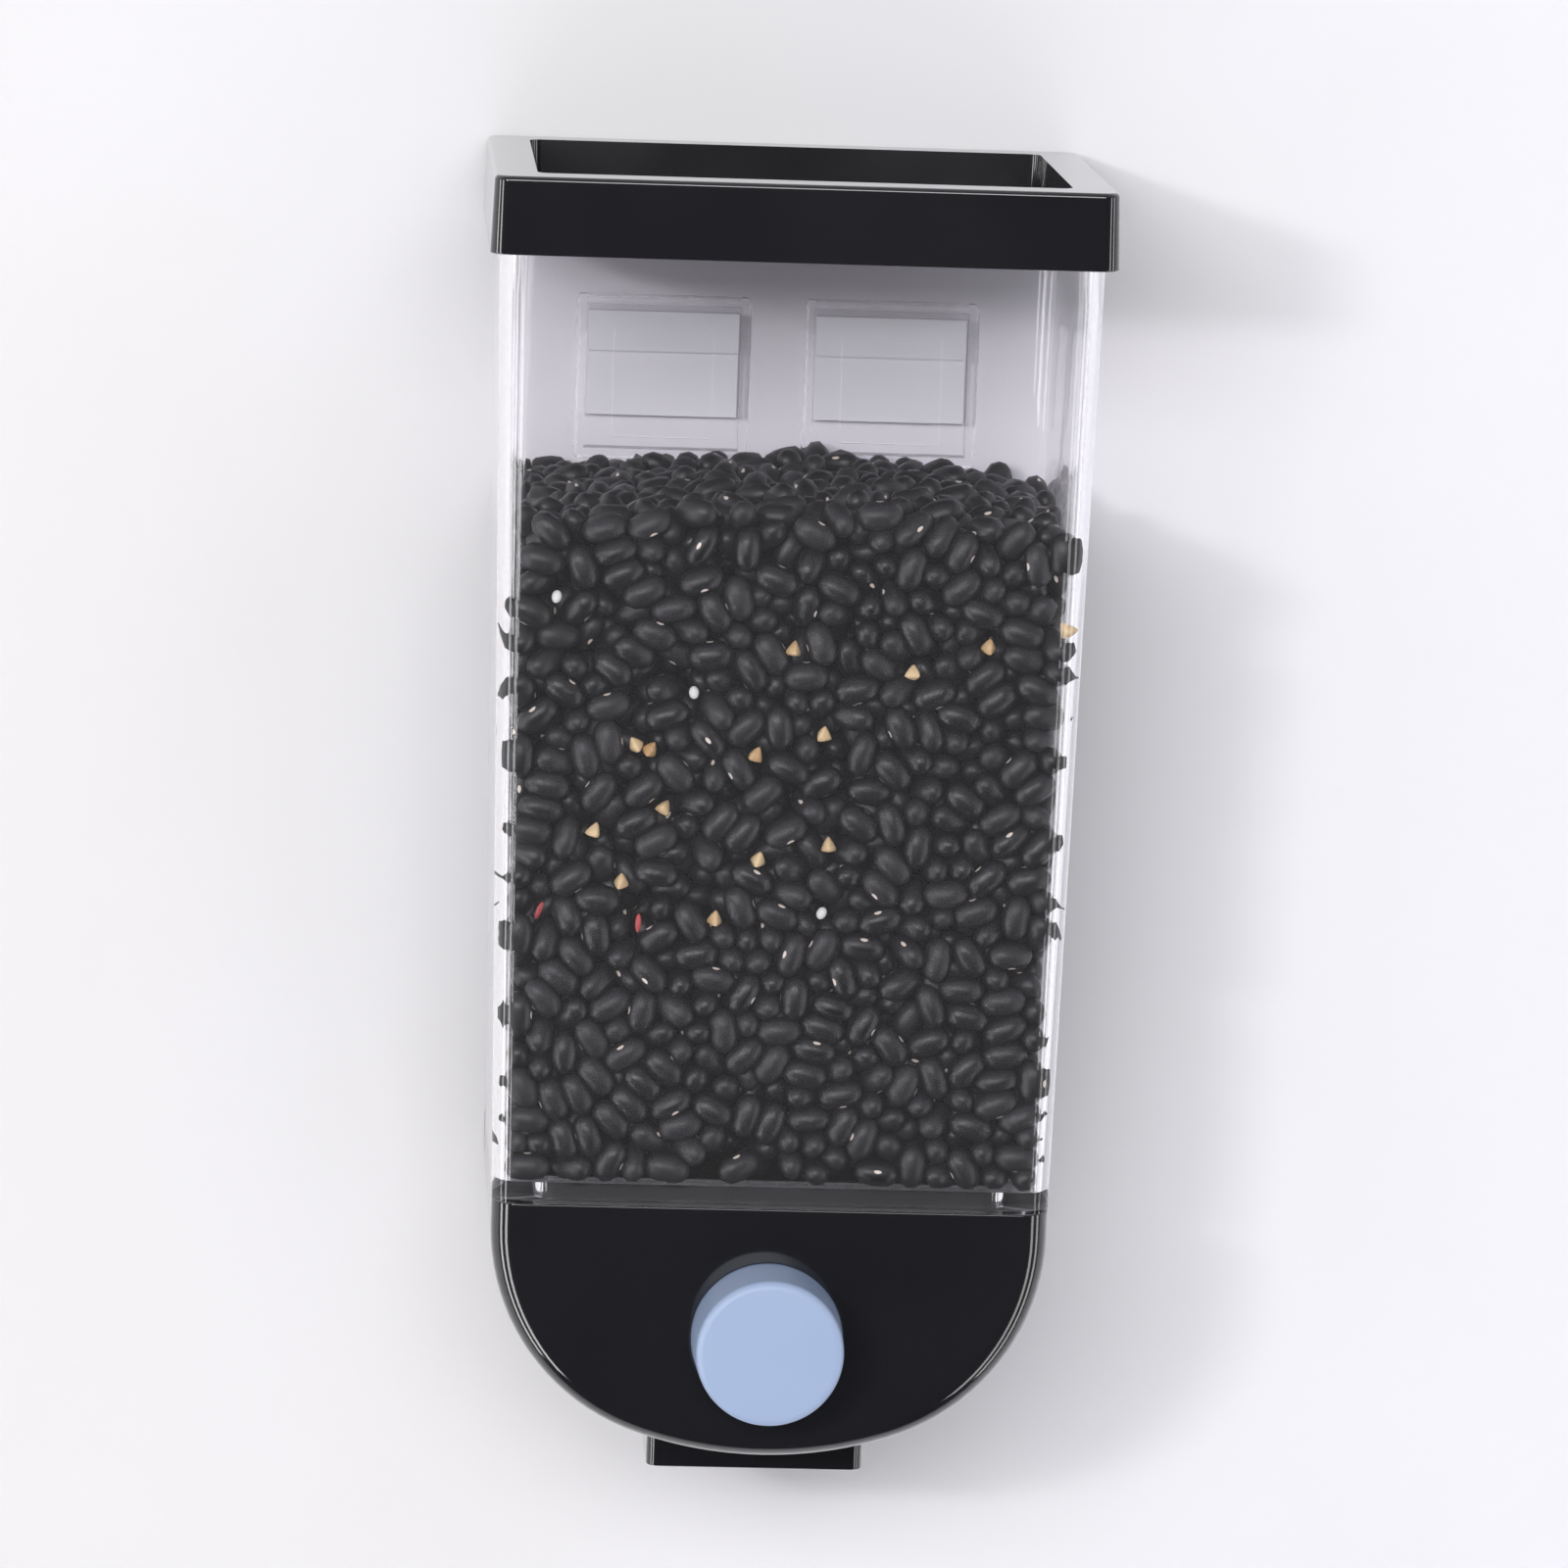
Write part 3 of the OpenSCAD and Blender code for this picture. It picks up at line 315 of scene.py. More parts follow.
def finish_piece(piece, material, body, nodes, edge=0.0, edge_steps=2, smooth_angle=35):
    """Softens the sharp edges, shades the piece, and hands it to its body."""
    if edge:
        modify(piece, "BEVEL", width=edge, segments=edge_steps, limit_method="ANGLE",
               angle_limit=math.radians(40), use_clamp_overlap=True, harden_normals=False)
    bpy.ops.object.select_all(action="DESELECT")
    bpy.context.view_layer.objects.active = piece
    piece.select_set(True)
    bpy.ops.object.shade_smooth_by_angle(angle=math.radians(smooth_angle))
    modify(piece, "WEIGHTED_NORMAL", keep_sharp=True, weight=100)
    piece.data.materials.clear()
    piece.data.materials.append(material)
    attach(piece, body)
    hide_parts(*nodes)
    bpy.ops.object.select_all(action="DESELECT")


def block(low, high):
    """A box between two corners, as a cutter."""
    low, high = Vector(low), Vector(high)
    bpy.ops.mesh.primitive_cube_add(size=1, location=(low + high) / 2, scale=high - low)
    made = bpy.context.object
    bpy.ops.object.transform_apply(location=True, rotation=True, scale=True)
    return made


def rod(x, z, radius, front, back, sides):
    """A cylinder along Y between two distances, as a cutter."""
    bpy.ops.mesh.primitive_cylinder_add(vertices=sides, radius=radius, depth=back - front,
                                        location=(x, (front + back) / 2, z), rotation=(math.pi / 2, 0, 0))
    made = bpy.context.object
    bpy.ops.object.transform_apply(location=True, rotation=True, scale=True)
    return made


nearly = 0.01 * MM
base_low, base_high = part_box("base_housing")
base_half = base_high.x
base_top = base_high.z
base_bottom = base_low.z
base_front = base_low.y
base_back = base_high.y
base_wall = 2.4 * MM
base_edge = 5.5 * MM
side_drop = 5.2 * MM
bottom_radius = 78 * MM
curve_z = base_top - side_drop
bottom_centre = base_bottom + bottom_radius
curve_drop = curve_z - bottom_centre
side_radius = ((bottom_radius ** 2 - base_half ** 2 - curve_drop ** 2)
               / (2 * (bottom_radius - base_half)))
side_centre = base_half - side_radius
meet_angle = math.atan2(-curve_drop, side_centre)
side_steps, bottom_steps = 20, 24


def base_outline(name, front, back):
    """A solid in the housing's outline, from a front to a back distance."""
    piece = start_piece(name)
    mesh = bmesh.from_edit_mesh(piece.data)
    top = mesh.verts.new((base_half, front, base_top))
    side = mesh.verts.new((base_half, front, curve_z))
    mesh.edges.new((top, side))
    bmesh.update_edit_mesh(piece.data)
    pick(piece, "VERT", lambda co: co.z < base_top - side_drop / 2)
    bpy.ops.mesh.spin(steps=side_steps, angle=meet_angle, center=(side_centre, front, curve_z),
                      axis=(0, -1, 0))
    lowest = min(v.co.z for v in bmesh.from_edit_mesh(piece.data).verts)
    pick(piece, "VERT", lambda co: co.z < lowest + nearly)
    bpy.ops.mesh.spin(steps=bottom_steps, angle=math.pi - 2 * meet_angle,
                      center=(0, front, bottom_centre), axis=(0, -1, 0))
    left = min(v.co.x for v in bmesh.from_edit_mesh(piece.data).verts)
    pick(piece, "VERT", lambda co: co.x < left + nearly)
    bpy.ops.mesh.spin(steps=side_steps, angle=meet_angle, center=(-side_centre, front, curve_z),
                      axis=(0, -1, 0))
    pick(piece, "VERT", lambda co: co.x < -base_half + nearly)
    bpy.ops.mesh.extrude_vertices_move(TRANSFORM_OT_translate={"value": (0, 0, side_drop)})
    pick(piece, "VERT", lambda co: True)
    bpy.ops.mesh.remove_doubles(threshold=nearly / 10)
    bpy.ops.mesh.select_all(action="SELECT")
    bpy.ops.mesh.edge_face_add()
    bpy.ops.mesh.extrude_region_move(TRANSFORM_OT_translate={"value": (0, back - front, 0)})
    bpy.ops.mesh.select_all(action="SELECT")
    bpy.ops.mesh.normals_make_consistent(inside=False)
    return piece


base_housing = base_outline("base_shell", base_front, base_back)
sharp_rim = 0.5 * MM
round_edges(base_housing, base_edge, 10,
            lambda middle, run: middle.y < base_front + nearly and middle.z < base_top - sharp_rim)
pick(base_housing, "FACE", lambda middle, normal: middle.z > base_top - nearly or
     (middle.y > base_back - nearly and normal.y > 0.9))
bpy.ops.mesh.delete(type="FACE")
bpy.ops.object.mode_set(mode="OBJECT")
modify(base_housing, "SOLIDIFY", thickness=base_wall, offset=-1, use_even_offset=True)

button_low, button_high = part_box("push_button")
button_z = (button_low.z + button_high.z) / 2
bore_radius = 14.78 * MM
bore_depth = 8 * MM
cut_past = 5 * MM
cut(base_housing, rod(0, button_z, bore_radius, base_front - cut_past, base_front + bore_depth, 128))
spout_low, spout_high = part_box("outlet_spout")
spout_half = 21.3 * MM
spout_gap = 0.4 * MM
spout_front, spout_back = -60 * MM, -26 * MM
spout_hole_top = button_z - 14.7 * MM
cut(base_housing, block((-spout_half - spout_gap, spout_front - spout_gap, base_bottom - cut_past),
                        (spout_half + spout_gap, spout_back + spout_gap, spout_hole_top)))

black_gloss = moulded_plastic("black_gloss_plastic", (0.0105, 0.0105, 0.0130), (0.0135, 0.0135, 0.0160),
                              0.05, 0.10, grain=1400.0, grain_depth=0.0015 * MM)
gloss_shader = black_gloss.node_tree.nodes["Principled BSDF"]
gloss_shader.inputs["Coat Weight"].default_value = 0.6
gloss_shader.inputs["Coat Roughness"].default_value = 0.04
finish_piece(base_housing, black_gloss, "bin", ["base_housing"],
             edge=0.35 * MM, edge_steps=3)


# ---- Rear cover and its screws ----
# Satin black plate that closes the back of the housing, held by four zinc-plated screws.
black_inner = moulded_plastic("black_inner_plastic", (0.012, 0.012, 0.013), (0.02, 0.02, 0.022), 0.4, 0.15)


def plain_metal(name, colour, smoothest, rise):
    """Drawn or plated metal with slow drifts of gloss."""
    dark = [0.8 * part for part in colour]
    material = moulded_plastic(name, dark, colour, smoothest, rise, grain=3000.0, grain_depth=0.002 * MM)
    material.node_tree.nodes["Principled BSDF"].inputs["Metallic"].default_value = 1.0
    return material


screw_steel = plain_metal("screw_steel", (0.62, 0.62, 0.63), 0.25, 0.2)
cover_low, cover_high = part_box("rear_cover")
rear_cover = base_outline("rear_plate", cover_low.y, cover_high.y)
bpy.ops.object.mode_set(mode="OBJECT")
screw_pass = 1.55 * MM
head_pass = 2.75 * MM
head_depth = 1.3 * MM
screw_spots = [Vector((side * x, 0, z)) * MM for x, z in ((48.5, -160), (35.1, -185.4)) for side in (1, -1)]
for spot in screw_spots:
    cut(rear_cover, rod(spot.x, spot.z, screw_pass, cover_low.y - MM, cover_high.y + MM, 32))
    cut(rear_cover, rod(spot.x, spot.z, head_pass, cover_high.y - head_depth, cover_high.y + MM, 48))
finish_piece(rear_cover, black_inner, "bin", ["rear_cover"], edge=0.3 * MM)
finish_node("rear_screws", screw_steel)


# ---- Works inside the base ----
# Satin black funnel and plunger, dark grey low-friction track and guide, pale shutter and grey silicone
# seals, held by zinc-plated screws. They show only from below and through the clear hopper.
silicone = moulded_plastic("silicone", (0.36, 0.36, 0.38), (0.48, 0.48, 0.50), 0.6, 0.15)
guide_plastic = moulded_plastic("guide_plastic", (0.04, 0.04, 0.045), (0.06, 0.06, 0.066), 0.45, 0.15)
shutter_plastic = moulded_plastic("shutter_plastic", (0.5, 0.5, 0.51), (0.6, 0.6, 0.61), 0.4, 0.15)
for name, material in {
        "funnel": black_inner, "plunger": black_inner, "hopper_gasket": silicone, "shutter_seal": silicone,
        "button_guide": guide_plastic, "shutter_track": guide_plastic, "shutter_plate": shutter_plastic,
        "spring_washer": screw_steel, "button_screw": screw_steel, "shutter_screws": screw_steel,
        "spout_screws": screw_steel}.items():
    finish_node(name, material)


# ---- Return spring ----
# Bare steel coil between the washer on the plunger and the funnel's seat. It is squeezed towards the seat
# as the button goes in.
spring_steel = plain_metal("spring_steel", (0.5, 0.5, 0.52), 0.3, 0.15)
spring_low, spring_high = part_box("return_spring")
wire_radius = 0.45 * MM
wire_sides = 8
spring_turns = 7.5
turn_steps = 20
coil_radius = spring_high.x - wire_radius
coil_length = spring_high.y - spring_low.y
spring_z = (spring_low.z + spring_high.z) / 2
spring = start_piece("spring_coil")
bpy.ops.mesh.primitive_circle_add(vertices=wire_sides, radius=wire_radius, fill_type="NGON",
                                  location=(coil_radius, spring_low.y + wire_radius, spring_z))
coil_steps = int(spring_turns * turn_steps)
coil_mesh = bmesh.from_edit_mesh(spring.data)
bmesh.ops.spin(coil_mesh, geom=coil_mesh.verts[:] + coil_mesh.edges[:] + coil_mesh.faces[:],
               cent=(0, 0, spring_z), axis=(0, 1, 0), angle=2 * math.pi * spring_turns, steps=coil_steps,
               dvec=(0, (coil_length - 2 * wire_radius) / coil_steps, 0))
bmesh.update_edit_mesh(spring.data)
bpy.ops.mesh.select_all(action="SELECT")
bpy.ops.mesh.normals_make_consistent(inside=False)
bpy.ops.object.mode_set(mode="OBJECT")
finish_piece(spring, spring_steel, "bin", ["return_spring"], smooth_angle=60)
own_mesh(spring)


# ---- Outlet spout ----
# Glossy black rectangular tube with a flange, screwed up under the track. The food drops out of it.
corner_steps = 8


def loft(name, rings, closed=False):
    """A skin through rounded rectangles, each (z, half width, front, back, corner radius).
    closed joins the last to the first, as on a wall with two faces; otherwise both ends are capped."""
    piece = start_piece(name)
    for number, (z, half, front, back, corner) in enumerate(rings):
        bpy.ops.mesh.select_all(action="DESELECT")
        middle = (0, (front + back) / 2, z)
        bpy.ops.mesh.primitive_plane_add(size=1, location=middle)
        bpy.ops.transform.resize(value=(2 * half, back - front, 1), center_override=middle)
        bpy.ops.mesh.bevel(offset=corner, offset_type="OFFSET", segments=corner_steps, profile=0.5,
                           affect="VERTICES", clamp_overlap=False)
        for face in bmesh.from_edit_mesh(piece.data).faces:
            if face.select:
                face.material_index = number
    mesh = bmesh.from_edit_mesh(piece.data)
    loops = []
    for face in sorted(mesh.faces, key=lambda face: face.material_index):
        corners = list(face.verts)
        first = max(range(len(corners)), key=lambda i: (round(corners[i].co.x, 6), corners[i].co.y))
        loops.append(corners[first:] + corners[:first])
    inner = [face for face in mesh.faces if closed or 0 < face.material_index < len(rings) - 1]
    bmesh.ops.delete(mesh, geom=inner, context="FACES_ONLY")
    for one, two in zip(loops, loops[1:] + loops[:1] * closed):
        for i in range(len(one)):
            mesh.faces.new((one[i - 1], one[i], two[i], two[i - 1]))
    bmesh.update_edit_mesh(piece.data)
    bpy.ops.mesh.select_all(action="SELECT")
    bpy.ops.mesh.normals_make_consistent(inside=False)
    for face in bmesh.from_edit_mesh(piece.data).faces:
        face.material_index = 0
    bpy.ops.object.mode_set(mode="OBJECT")
    return piece


spout_wall = 1.8 * MM
spout_corner = 2.5 * MM
spout_inside_corner = spout_corner - spout_wall
flange_thick = 2 * MM
flange_foot = spout_high.z - flange_thick
flange_corner = 1.5 * MM
flange = (spout_high.x, spout_low.y, spout_high.y, flange_corner)
outer = (spout_half, spout_front, spout_back, spout_corner)
inner = (spout_half - spout_wall, spout_front + spout_wall, spout_back - spout_wall, spout_inside_corner)
spout = loft("spout_tube", [
    (spout_high.z, *inner), (spout_high.z, *flange), (flange_foot, *flange), (flange_foot, *outer),
    (spout_low.z, *outer), (spout_low.z, *inner)], closed=True)
finish_piece(spout, black_gloss, "bin", ["outlet_spout"], edge=0.3 * MM)


# ---- Push button ----
# Light blue satin cap with a rounded rim. A flange at its back stops it behind the housing, and the
# plunger is screwed up inside it.
button_front = button_low.y
front_radius = 14.2 * MM
base_radius = 14.7 * MM
stop_radius = 15.5 * MM
stop_thick = 2 * MM
rim_radius = 1.5 * MM
face_thick = 2.2 * MM
cup_radius = 12.3 * MM
cup_floor = button_front + face_thick
stop_front = button_high.y - stop_thick
push_button = start_piece("button_cap")
bpy.ops.mesh.primitive_cylinder_add(vertices=128, radius=front_radius, depth=base_front - button_front,
                                    location=(0, (base_front + button_front) / 2, button_z),
                                    rotation=(math.pi / 2, 0, 0))


def widen(radius_from, radius_to):
    """Brings the selected back face from one radius to another."""
    share = radius_to / radius_from
    bpy.ops.transform.resize(value=(share, 1, share), center_override=(0, 0, button_z))


def grow_back(distance, radius_from, radius_to):
    """Pulls the selected back face out by a distance and brings it to another radius."""
    bpy.ops.mesh.extrude_region_move(TRANSFORM_OT_translate={"value": (0, distance, 0)})
    widen(radius_from, radius_to)


pick(push_button, "FACE", lambda middle, normal: normal.y > 0.9)
widen(front_radius, base_radius)
grow_back(stop_front - base_front, base_radius, base_radius)
grow_back(0, base_radius, stop_radius)
grow_back(button_high.y - stop_front, stop_radius, stop_radius)
grow_back(0, stop_radius, cup_radius)
grow_back(cup_floor - button_high.y, cup_radius, cup_radius)
round_edges(push_button, rim_radius, 8, lambda middle, run: middle.y < button_front + nearly)
bpy.ops.object.mode_set(mode="OBJECT")
blue_plastic = moulded_plastic("blue_plastic", (0.345, 0.445, 0.65), (0.375, 0.475, 0.68), 0.38, 0.1)
finish_piece(push_button, blue_plastic, "button", ["push_button"])


# ---- Hopper ----
# Clear glossy styrene moulding: a tapered box with a rim for the lid, a ledge at its foot, and two
# receivers in its back wall that hang on the wall plates. A ring is half width, front, back and corner.
hopper_wall = 2.4 * MM
hopper_foot = base_top
ledge_thick = 4 * MM
ledge_top = hopper_foot + ledge_thick
shoulder = 32.0 * MM
rim_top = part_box("hopper")[1].z
rim_root = shoulder - 2.5 * MM
foot_outside = (base_half, base_front, 0, 5 * MM)
top_outside = (57.6 * MM, -92.8 * MM, 0, 8 * MM)
rim_outside = (57.1 * MM, -92.3 * MM, -2.2 * MM, 7.5 * MM)


def drawn_in(ring, wall):
    """A ring moved inwards by a wall's thickness."""
    half, front, back, corner = ring
    return half - wall, front + wall, back - wall, corner - wall


def between(low, high, share):
    """A ring between two rings."""
    return tuple(a + (b - a) * share for a, b in zip(low, high))


foot_inside, top_inside = drawn_in(foot_outside, hopper_wall), drawn_in(top_outside, hopper_wall)
rim_inside = drawn_in(rim_outside, hopper_wall)
ledge = (45.5 * MM, -80.1 * MM, -8.4 * MM, 4 * MM)
body_height = shoulder - hopper_foot
rim_blend = 5 * MM
blend_foot = rim_root - rim_blend
hopper = loft("hopper_body", [
    (hopper_foot, *foot_outside), (shoulder, *top_outside), (shoulder, *rim_outside),
    (rim_top, *rim_outside), (rim_top, *rim_inside), (rim_root, *rim_inside),
    (blend_foot, *between(foot_inside, top_inside, (blend_foot - hopper_foot) / body_height)),
    (ledge_top, *between(foot_inside, top_inside, (ledge_top - hopper_foot) / body_height)),
    (ledge_top, *ledge), (hopper_foot, *ledge)], closed=True)

receiver_middle = 22.8 * MM
receiver_half_w = 17.5 * MM
receiver_wall = 2 * MM
receiver_depth = 5.2 * MM
receiver_half_h = 16.5 * MM
receiver_front = -receiver_depth - receiver_wall
room_half_w = receiver_half_w - receiver_wall
room_half_h = receiver_half_h - receiver_wall
panel_half_w, panel_half_h, panel_out = 10.25 * MM, 11 * MM, 0.8 * MM
panel_z = -1 * MM
lip_z, lip_thick = 8.1 * MM, 1.4 * MM
receiver_edge, panel_edge = 1.2 * MM, 0.7 * MM


def soft_block(low, high, radius):
    """A box between two corners with its front and side edges rounded."""
    made = block(low, high)
    bpy.ops.object.mode_set(mode="EDIT")
    round_edges(made, radius, 4, lambda middle, run: middle.y < high[1] - nearly)
    bpy.ops.object.mode_set(mode="OBJECT")
    return made


for x in (-receiver_middle, receiver_middle):
    receiver = soft_block((x - receiver_half_w, receiver_front, -receiver_half_h),
                          (x + receiver_half_w, -hopper_wall / 2, receiver_half_h), receiver_edge)
    cut(hopper, receiver, "UNION")
    panel = soft_block((x - panel_half_w, receiver_front - panel_out, panel_z - panel_half_h),
                       (x + panel_half_w, receiver_front + MM, panel_z + panel_half_h), panel_edge)
    cut(hopper, panel, "UNION")
    cut(hopper, block((x - room_half_w, -receiver_depth, -room_half_h), (x + room_half_w, MM, lip_z)))
    cut(hopper, block((x - room_half_w, -receiver_depth, 0), (x + room_half_w, -lip_thick, room_half_h)))

tone_lumps, dull_lumps, wave_lumps = 30, 60, 35
wave_depth = 0.02 * MM
clear, clear_nodes, clear_links, clear_shader, clear_output = new_material("clear_plastic")
clear_shader.inputs["Transmission Weight"].default_value = 0.99
clear_shader.inputs["IOR"].default_value = 1.45
clear_colour = ramp(clear_nodes, clear_links, object_noise(clear_nodes, clear_links, tone_lumps),
                    [(0.3, (0.975, 0.97, 0.99)), (0.7, (0.99, 0.985, 0.998))])
clear_dull = spread(clear_nodes, clear_links, object_noise(clear_nodes, clear_links, dull_lumps), 0.0, 0.04)
clear_waves = bump(clear_nodes, clear_links, object_noise(clear_nodes, clear_links, wave_lumps), wave_depth)
clear_links.new(clear_colour, clear_shader.inputs["Base Color"])
clear_links.new(clear_dull, clear_shader.inputs["Roughness"])
clear_links.new(clear_waves, clear_shader.inputs["Normal"])
clear_path = clear_nodes.new("ShaderNodeLightPath")
clear_surface = clear_shader.outputs["BSDF"]
clear_tint = (0.99, 0.985, 0.995)
for ray in ("Is Shadow Ray", "Is Reflection Ray"):
    clear_surface = open_where(clear_nodes, clear_links, clear_path.outputs[ray], clear_surface, clear_tint)
clear_links.new(clear_surface, clear_output.inputs["Surface"])
finish_piece(hopper, clear, "bin", ["hopper"], edge=0.4 * MM, edge_steps=3)


# ---- Beans ----
# The food in the hopper: black turtle beans, 9 mm long, heaped up to the foot of the receivers. They are
# packed by pushing overlapping beans apart, each taken as three balls in a row.
bean_half = Vector((4.45, 2.95, 2.55)) * MM
ball_radius = 2.5 * MM
ball_offsets = np.array([-1, 0, 1]) * (bean_half.x - ball_radius)
heap_top = -15.5 * MM
heap_bottom = ledge_top
heap_middle, heap_width = 6 * MM, 38 * MM
heap_rise, heap_sink, heap_rough = 4.5, 2.5, 1.6
rough_x, rough_y, rough_slant = 1.7 * MM, 1.5 * MM, 4 * MM
bean_count = 5500
settle_turns = 60
settle_ease = 0.5
chance = np.random.RandomState(7)


def room_at(z):
    """Half width, front and back of the hopper's inside at a height."""
    share = (z - hopper_foot) / body_height
    return [low + (high - low) * share for low, high in zip(foot_inside[:3], top_inside[:3])]


def heap_height(x, y):
    """Level of the heap's surface over a point: low at the sides, and rough by about half a bean."""
    bulge = np.exp(-((x - heap_middle) / heap_width) ** 2)
    rough = np.sin(x / rough_x) * np.sin(y / rough_y + x / rough_slant)
    return heap_top + (heap_rise * bulge - heap_sink + heap_rough * rough) * MM


def near_pairs(points, reach):
    """Indices of all pairs of points that lie in the same or a neighbouring cell of a grid."""
    cells = np.floor(points / reach).astype(np.int64)
    cells -= cells.min(0) - 1
    span = cells.max(0) + 2
    key = (cells[:, 0] * span[1] + cells[:, 1]) * span[2] + cells[:, 2]
    order = np.argsort(key, kind="stable")
    key = key[order]
    ones, twos = [], []
    for shift in np.ndindex(3, 3, 3):
        step = ((shift[0] - 1) * span[1] + shift[1] - 1) * span[2] + shift[2] - 1
        start = np.searchsorted(key, key + step, "left")
        stop = np.searchsorted(key, key + step, "right")
        for k in range(int((stop - start).max())):
            hit = start + k < stop
            ones.append(order[hit])
            twos.append(order[(start + k)[hit]])
    ones, twos = np.concatenate(ones), np.concatenate(twos)
    keep = ones < twos
    return ones[keep], twos[keep]


def settle(centres, axes, fixed):
    """Pushes beans apart until they hardly overlap. The first beans, up to fixed, stay where they are."""
    owners = np.repeat(np.arange(len(centres)), 3)
    for turn in range(settle_turns):
        balls = (centres[:, None] + axes[:, None] * ball_offsets[:, None]).reshape(-1, 3)
        one, two = near_pairs(balls, 2 * ball_radius)
        apart = owners[one] != owners[two]
        one, two = one[apart], two[apart]
        gap = balls[one] - balls[two]
        length = np.linalg.norm(gap, axis=1) + 1e-9
        near = length < 2 * ball_radius
        one, two, gap, length = one[near], two[near], gap[near], length[near]
        push = gap / length[:, None] * (2 * ball_radius - length)[:, None] * 0.5
        moves = np.zeros_like(balls)
        np.add.at(moves, one, push)
        np.add.at(moves, two, -push)
        moved = balls + moves * settle_ease
        half, front, back = room_at(moved[:, 2])
        moved[:, 0] = np.clip(moved[:, 0], ball_radius - half, half - ball_radius)
        moved[:, 1] = np.clip(moved[:, 1], front + ball_radius, back - ball_radius)
        top = heap_height(moved[:, 0], moved[:, 1]) - ball_radius
        moved[:, 2] = np.clip(moved[:, 2], heap_bottom + ball_radius, top)
        moves = (moved - balls).reshape(-1, 3, 3)
        moves[:fixed] = 0
        centres = centres + moves.mean(1)
        turned = (moves * ball_offsets[:, None]).sum(1) / (ball_offsets ** 2).sum()
        axes[fixed:] += turned[fixed:]
        axes[fixed:] /= np.linalg.norm(axes[fixed:], axis=1)[:, None]
    return centres, axes


def behind_front(pixel_x, pixel_y, depth):
    """The point a depth behind the hopper's front inside wall, in line with a pixel of the photograph."""
    ray = camera_turn @ Vector(((pixel_x / photo_size - 0.5) * sensor_size / camera_data.lens,
                                (0.5 - pixel_y / photo_size) * sensor_size / camera_data.lens, -1))
    point = camera_place.copy()
    for turn in range(4):
        point = camera_place + ray * ((room_at(point.z)[1] + depth - camera_place.y) / ray.y)
    return point


lie_flat = 0.6
grain_radius = 2.2 * MM
# Where the kernels, white grains and red flecks lie in the photograph. The beans are packed round them.
kernel_pixels = [(811, 657), (932, 681), (1010, 655), (1084, 638), (646, 755), (666, 760), (773, 765),
                 (841, 744), (680, 819), (608, 842), (775, 872), (845, 857), (634, 894), (730, 932)]
white_pixels = [(568, 608), (708, 706), (838, 931)]
red_pixels = [(550, 928), (651, 941)]
grain_pixels = kernel_pixels + white_pixels + red_pixels
grains = np.array([behind_front(x, y, grain_radius) for x, y in grain_pixels])
low_z, high_z = heap_bottom + ball_radius, heap_top
half, front, back = room_at(0.5 * (low_z + high_z))
centres = chance.uniform((-half, front, low_z), (half, back, high_z), (bean_count, 3))
axes = chance.normal(size=(bean_count, 3))
axes[:, 2] *= lie_flat
axes /= np.linalg.norm(axes, axis=1)[:, None]
centres = np.concatenate([grains, centres])
axes = np.concatenate([np.tile((0.01, 0, 0), (len(grains), 1)), axes])
centres, axes = settle(centres, axes, len(grains))
centres, axes = centres[len(grains):], axes[len(grains):]

end_fullness = 1.12
bean_bend = math.radians(-28)
bean = start_piece("bean_seed")
bpy.ops.mesh.primitive_uv_sphere_add(segments=8, ring_count=7, radius=1, rotation=(0, math.pi / 2, 0))
pick(bean, "VERT", lambda co: 0.5 < abs(co.x) < 0.95)
bpy.ops.transform.resize(value=(1, end_fullness, end_fullness), center_override=(0, 0, 0))
pick(bean, "VERT", lambda co: True)
bpy.ops.transform.resize(value=bean_half, center_override=(0, 0, 0))
bpy.ops.object.mode_set(mode="OBJECT")
modify(bean, "SIMPLE_DEFORM", deform_method="BEND", angle=bean_bend, deform_axis="Z")
seed_points = np.array([v.co for v in bean.data.vertices])
seed_faces = [list(p.vertices) for p in bean.data.polygons]
seed_place = seed_points / np.abs(seed_points).max(0)
bpy.data.objects.remove(bean)


def copies(name, seed_points, seed_faces, seed_place, centres, turns, tones):
    """One mesh of many copies of a seed mesh, each turned and placed. Each point keeps its place on the
    seed and each copy its own tone, as attributes."""
    points = np.einsum("nij,pj->npi", turns, seed_points) + centres[:, None]
    count = len(seed_points)
    faces = [[i + k * count for i in face] for k in range(len(centres)) for face in seed_faces]
    mesh = bpy.data.meshes.new(name)
    mesh.from_pydata(points.reshape(-1, 3).tolist(), [], faces)
    place = mesh.attributes.new("seed_place", "FLOAT_VECTOR", "POINT")
    place.data.foreach_set("vector", np.tile(seed_place, (len(centres), 1)).astype(np.float32).ravel())
    tone = mesh.attributes.new("seed_tone", "FLOAT", "POINT")
    tone.data.foreach_set("value", np.repeat(tones, count).astype(np.float32))
    piece = bpy.data.objects.new(name, mesh)
    bpy.context.scene.collection.objects.link(piece)
    for face in mesh.polygons:
        face.use_smooth = True
    return piece


spin = chance.normal(size=(bean_count, 3))
half, front, back = room_at(centres[:, 2])
wall_reach, wobble = 5 * MM, 0.55
by_side = np.abs(centres[:, 0]) > half - wall_reach
by_front = (centres[:, 1] < front + wall_reach) | (centres[:, 1] > back - wall_reach)
spin[by_side] = spin[by_side] * wobble + (1, 0, 0)
spin[by_front] = spin[by_front] * wobble + (0, 1, 0)
thin = spin - (spin * axes).sum(1)[:, None] * axes
thin /= np.linalg.norm(thin, axis=1)[:, None]
turns = np.stack([axes, np.cross(thin, axes), thin], axis=2)
tones = chance.uniform(size=bean_count)

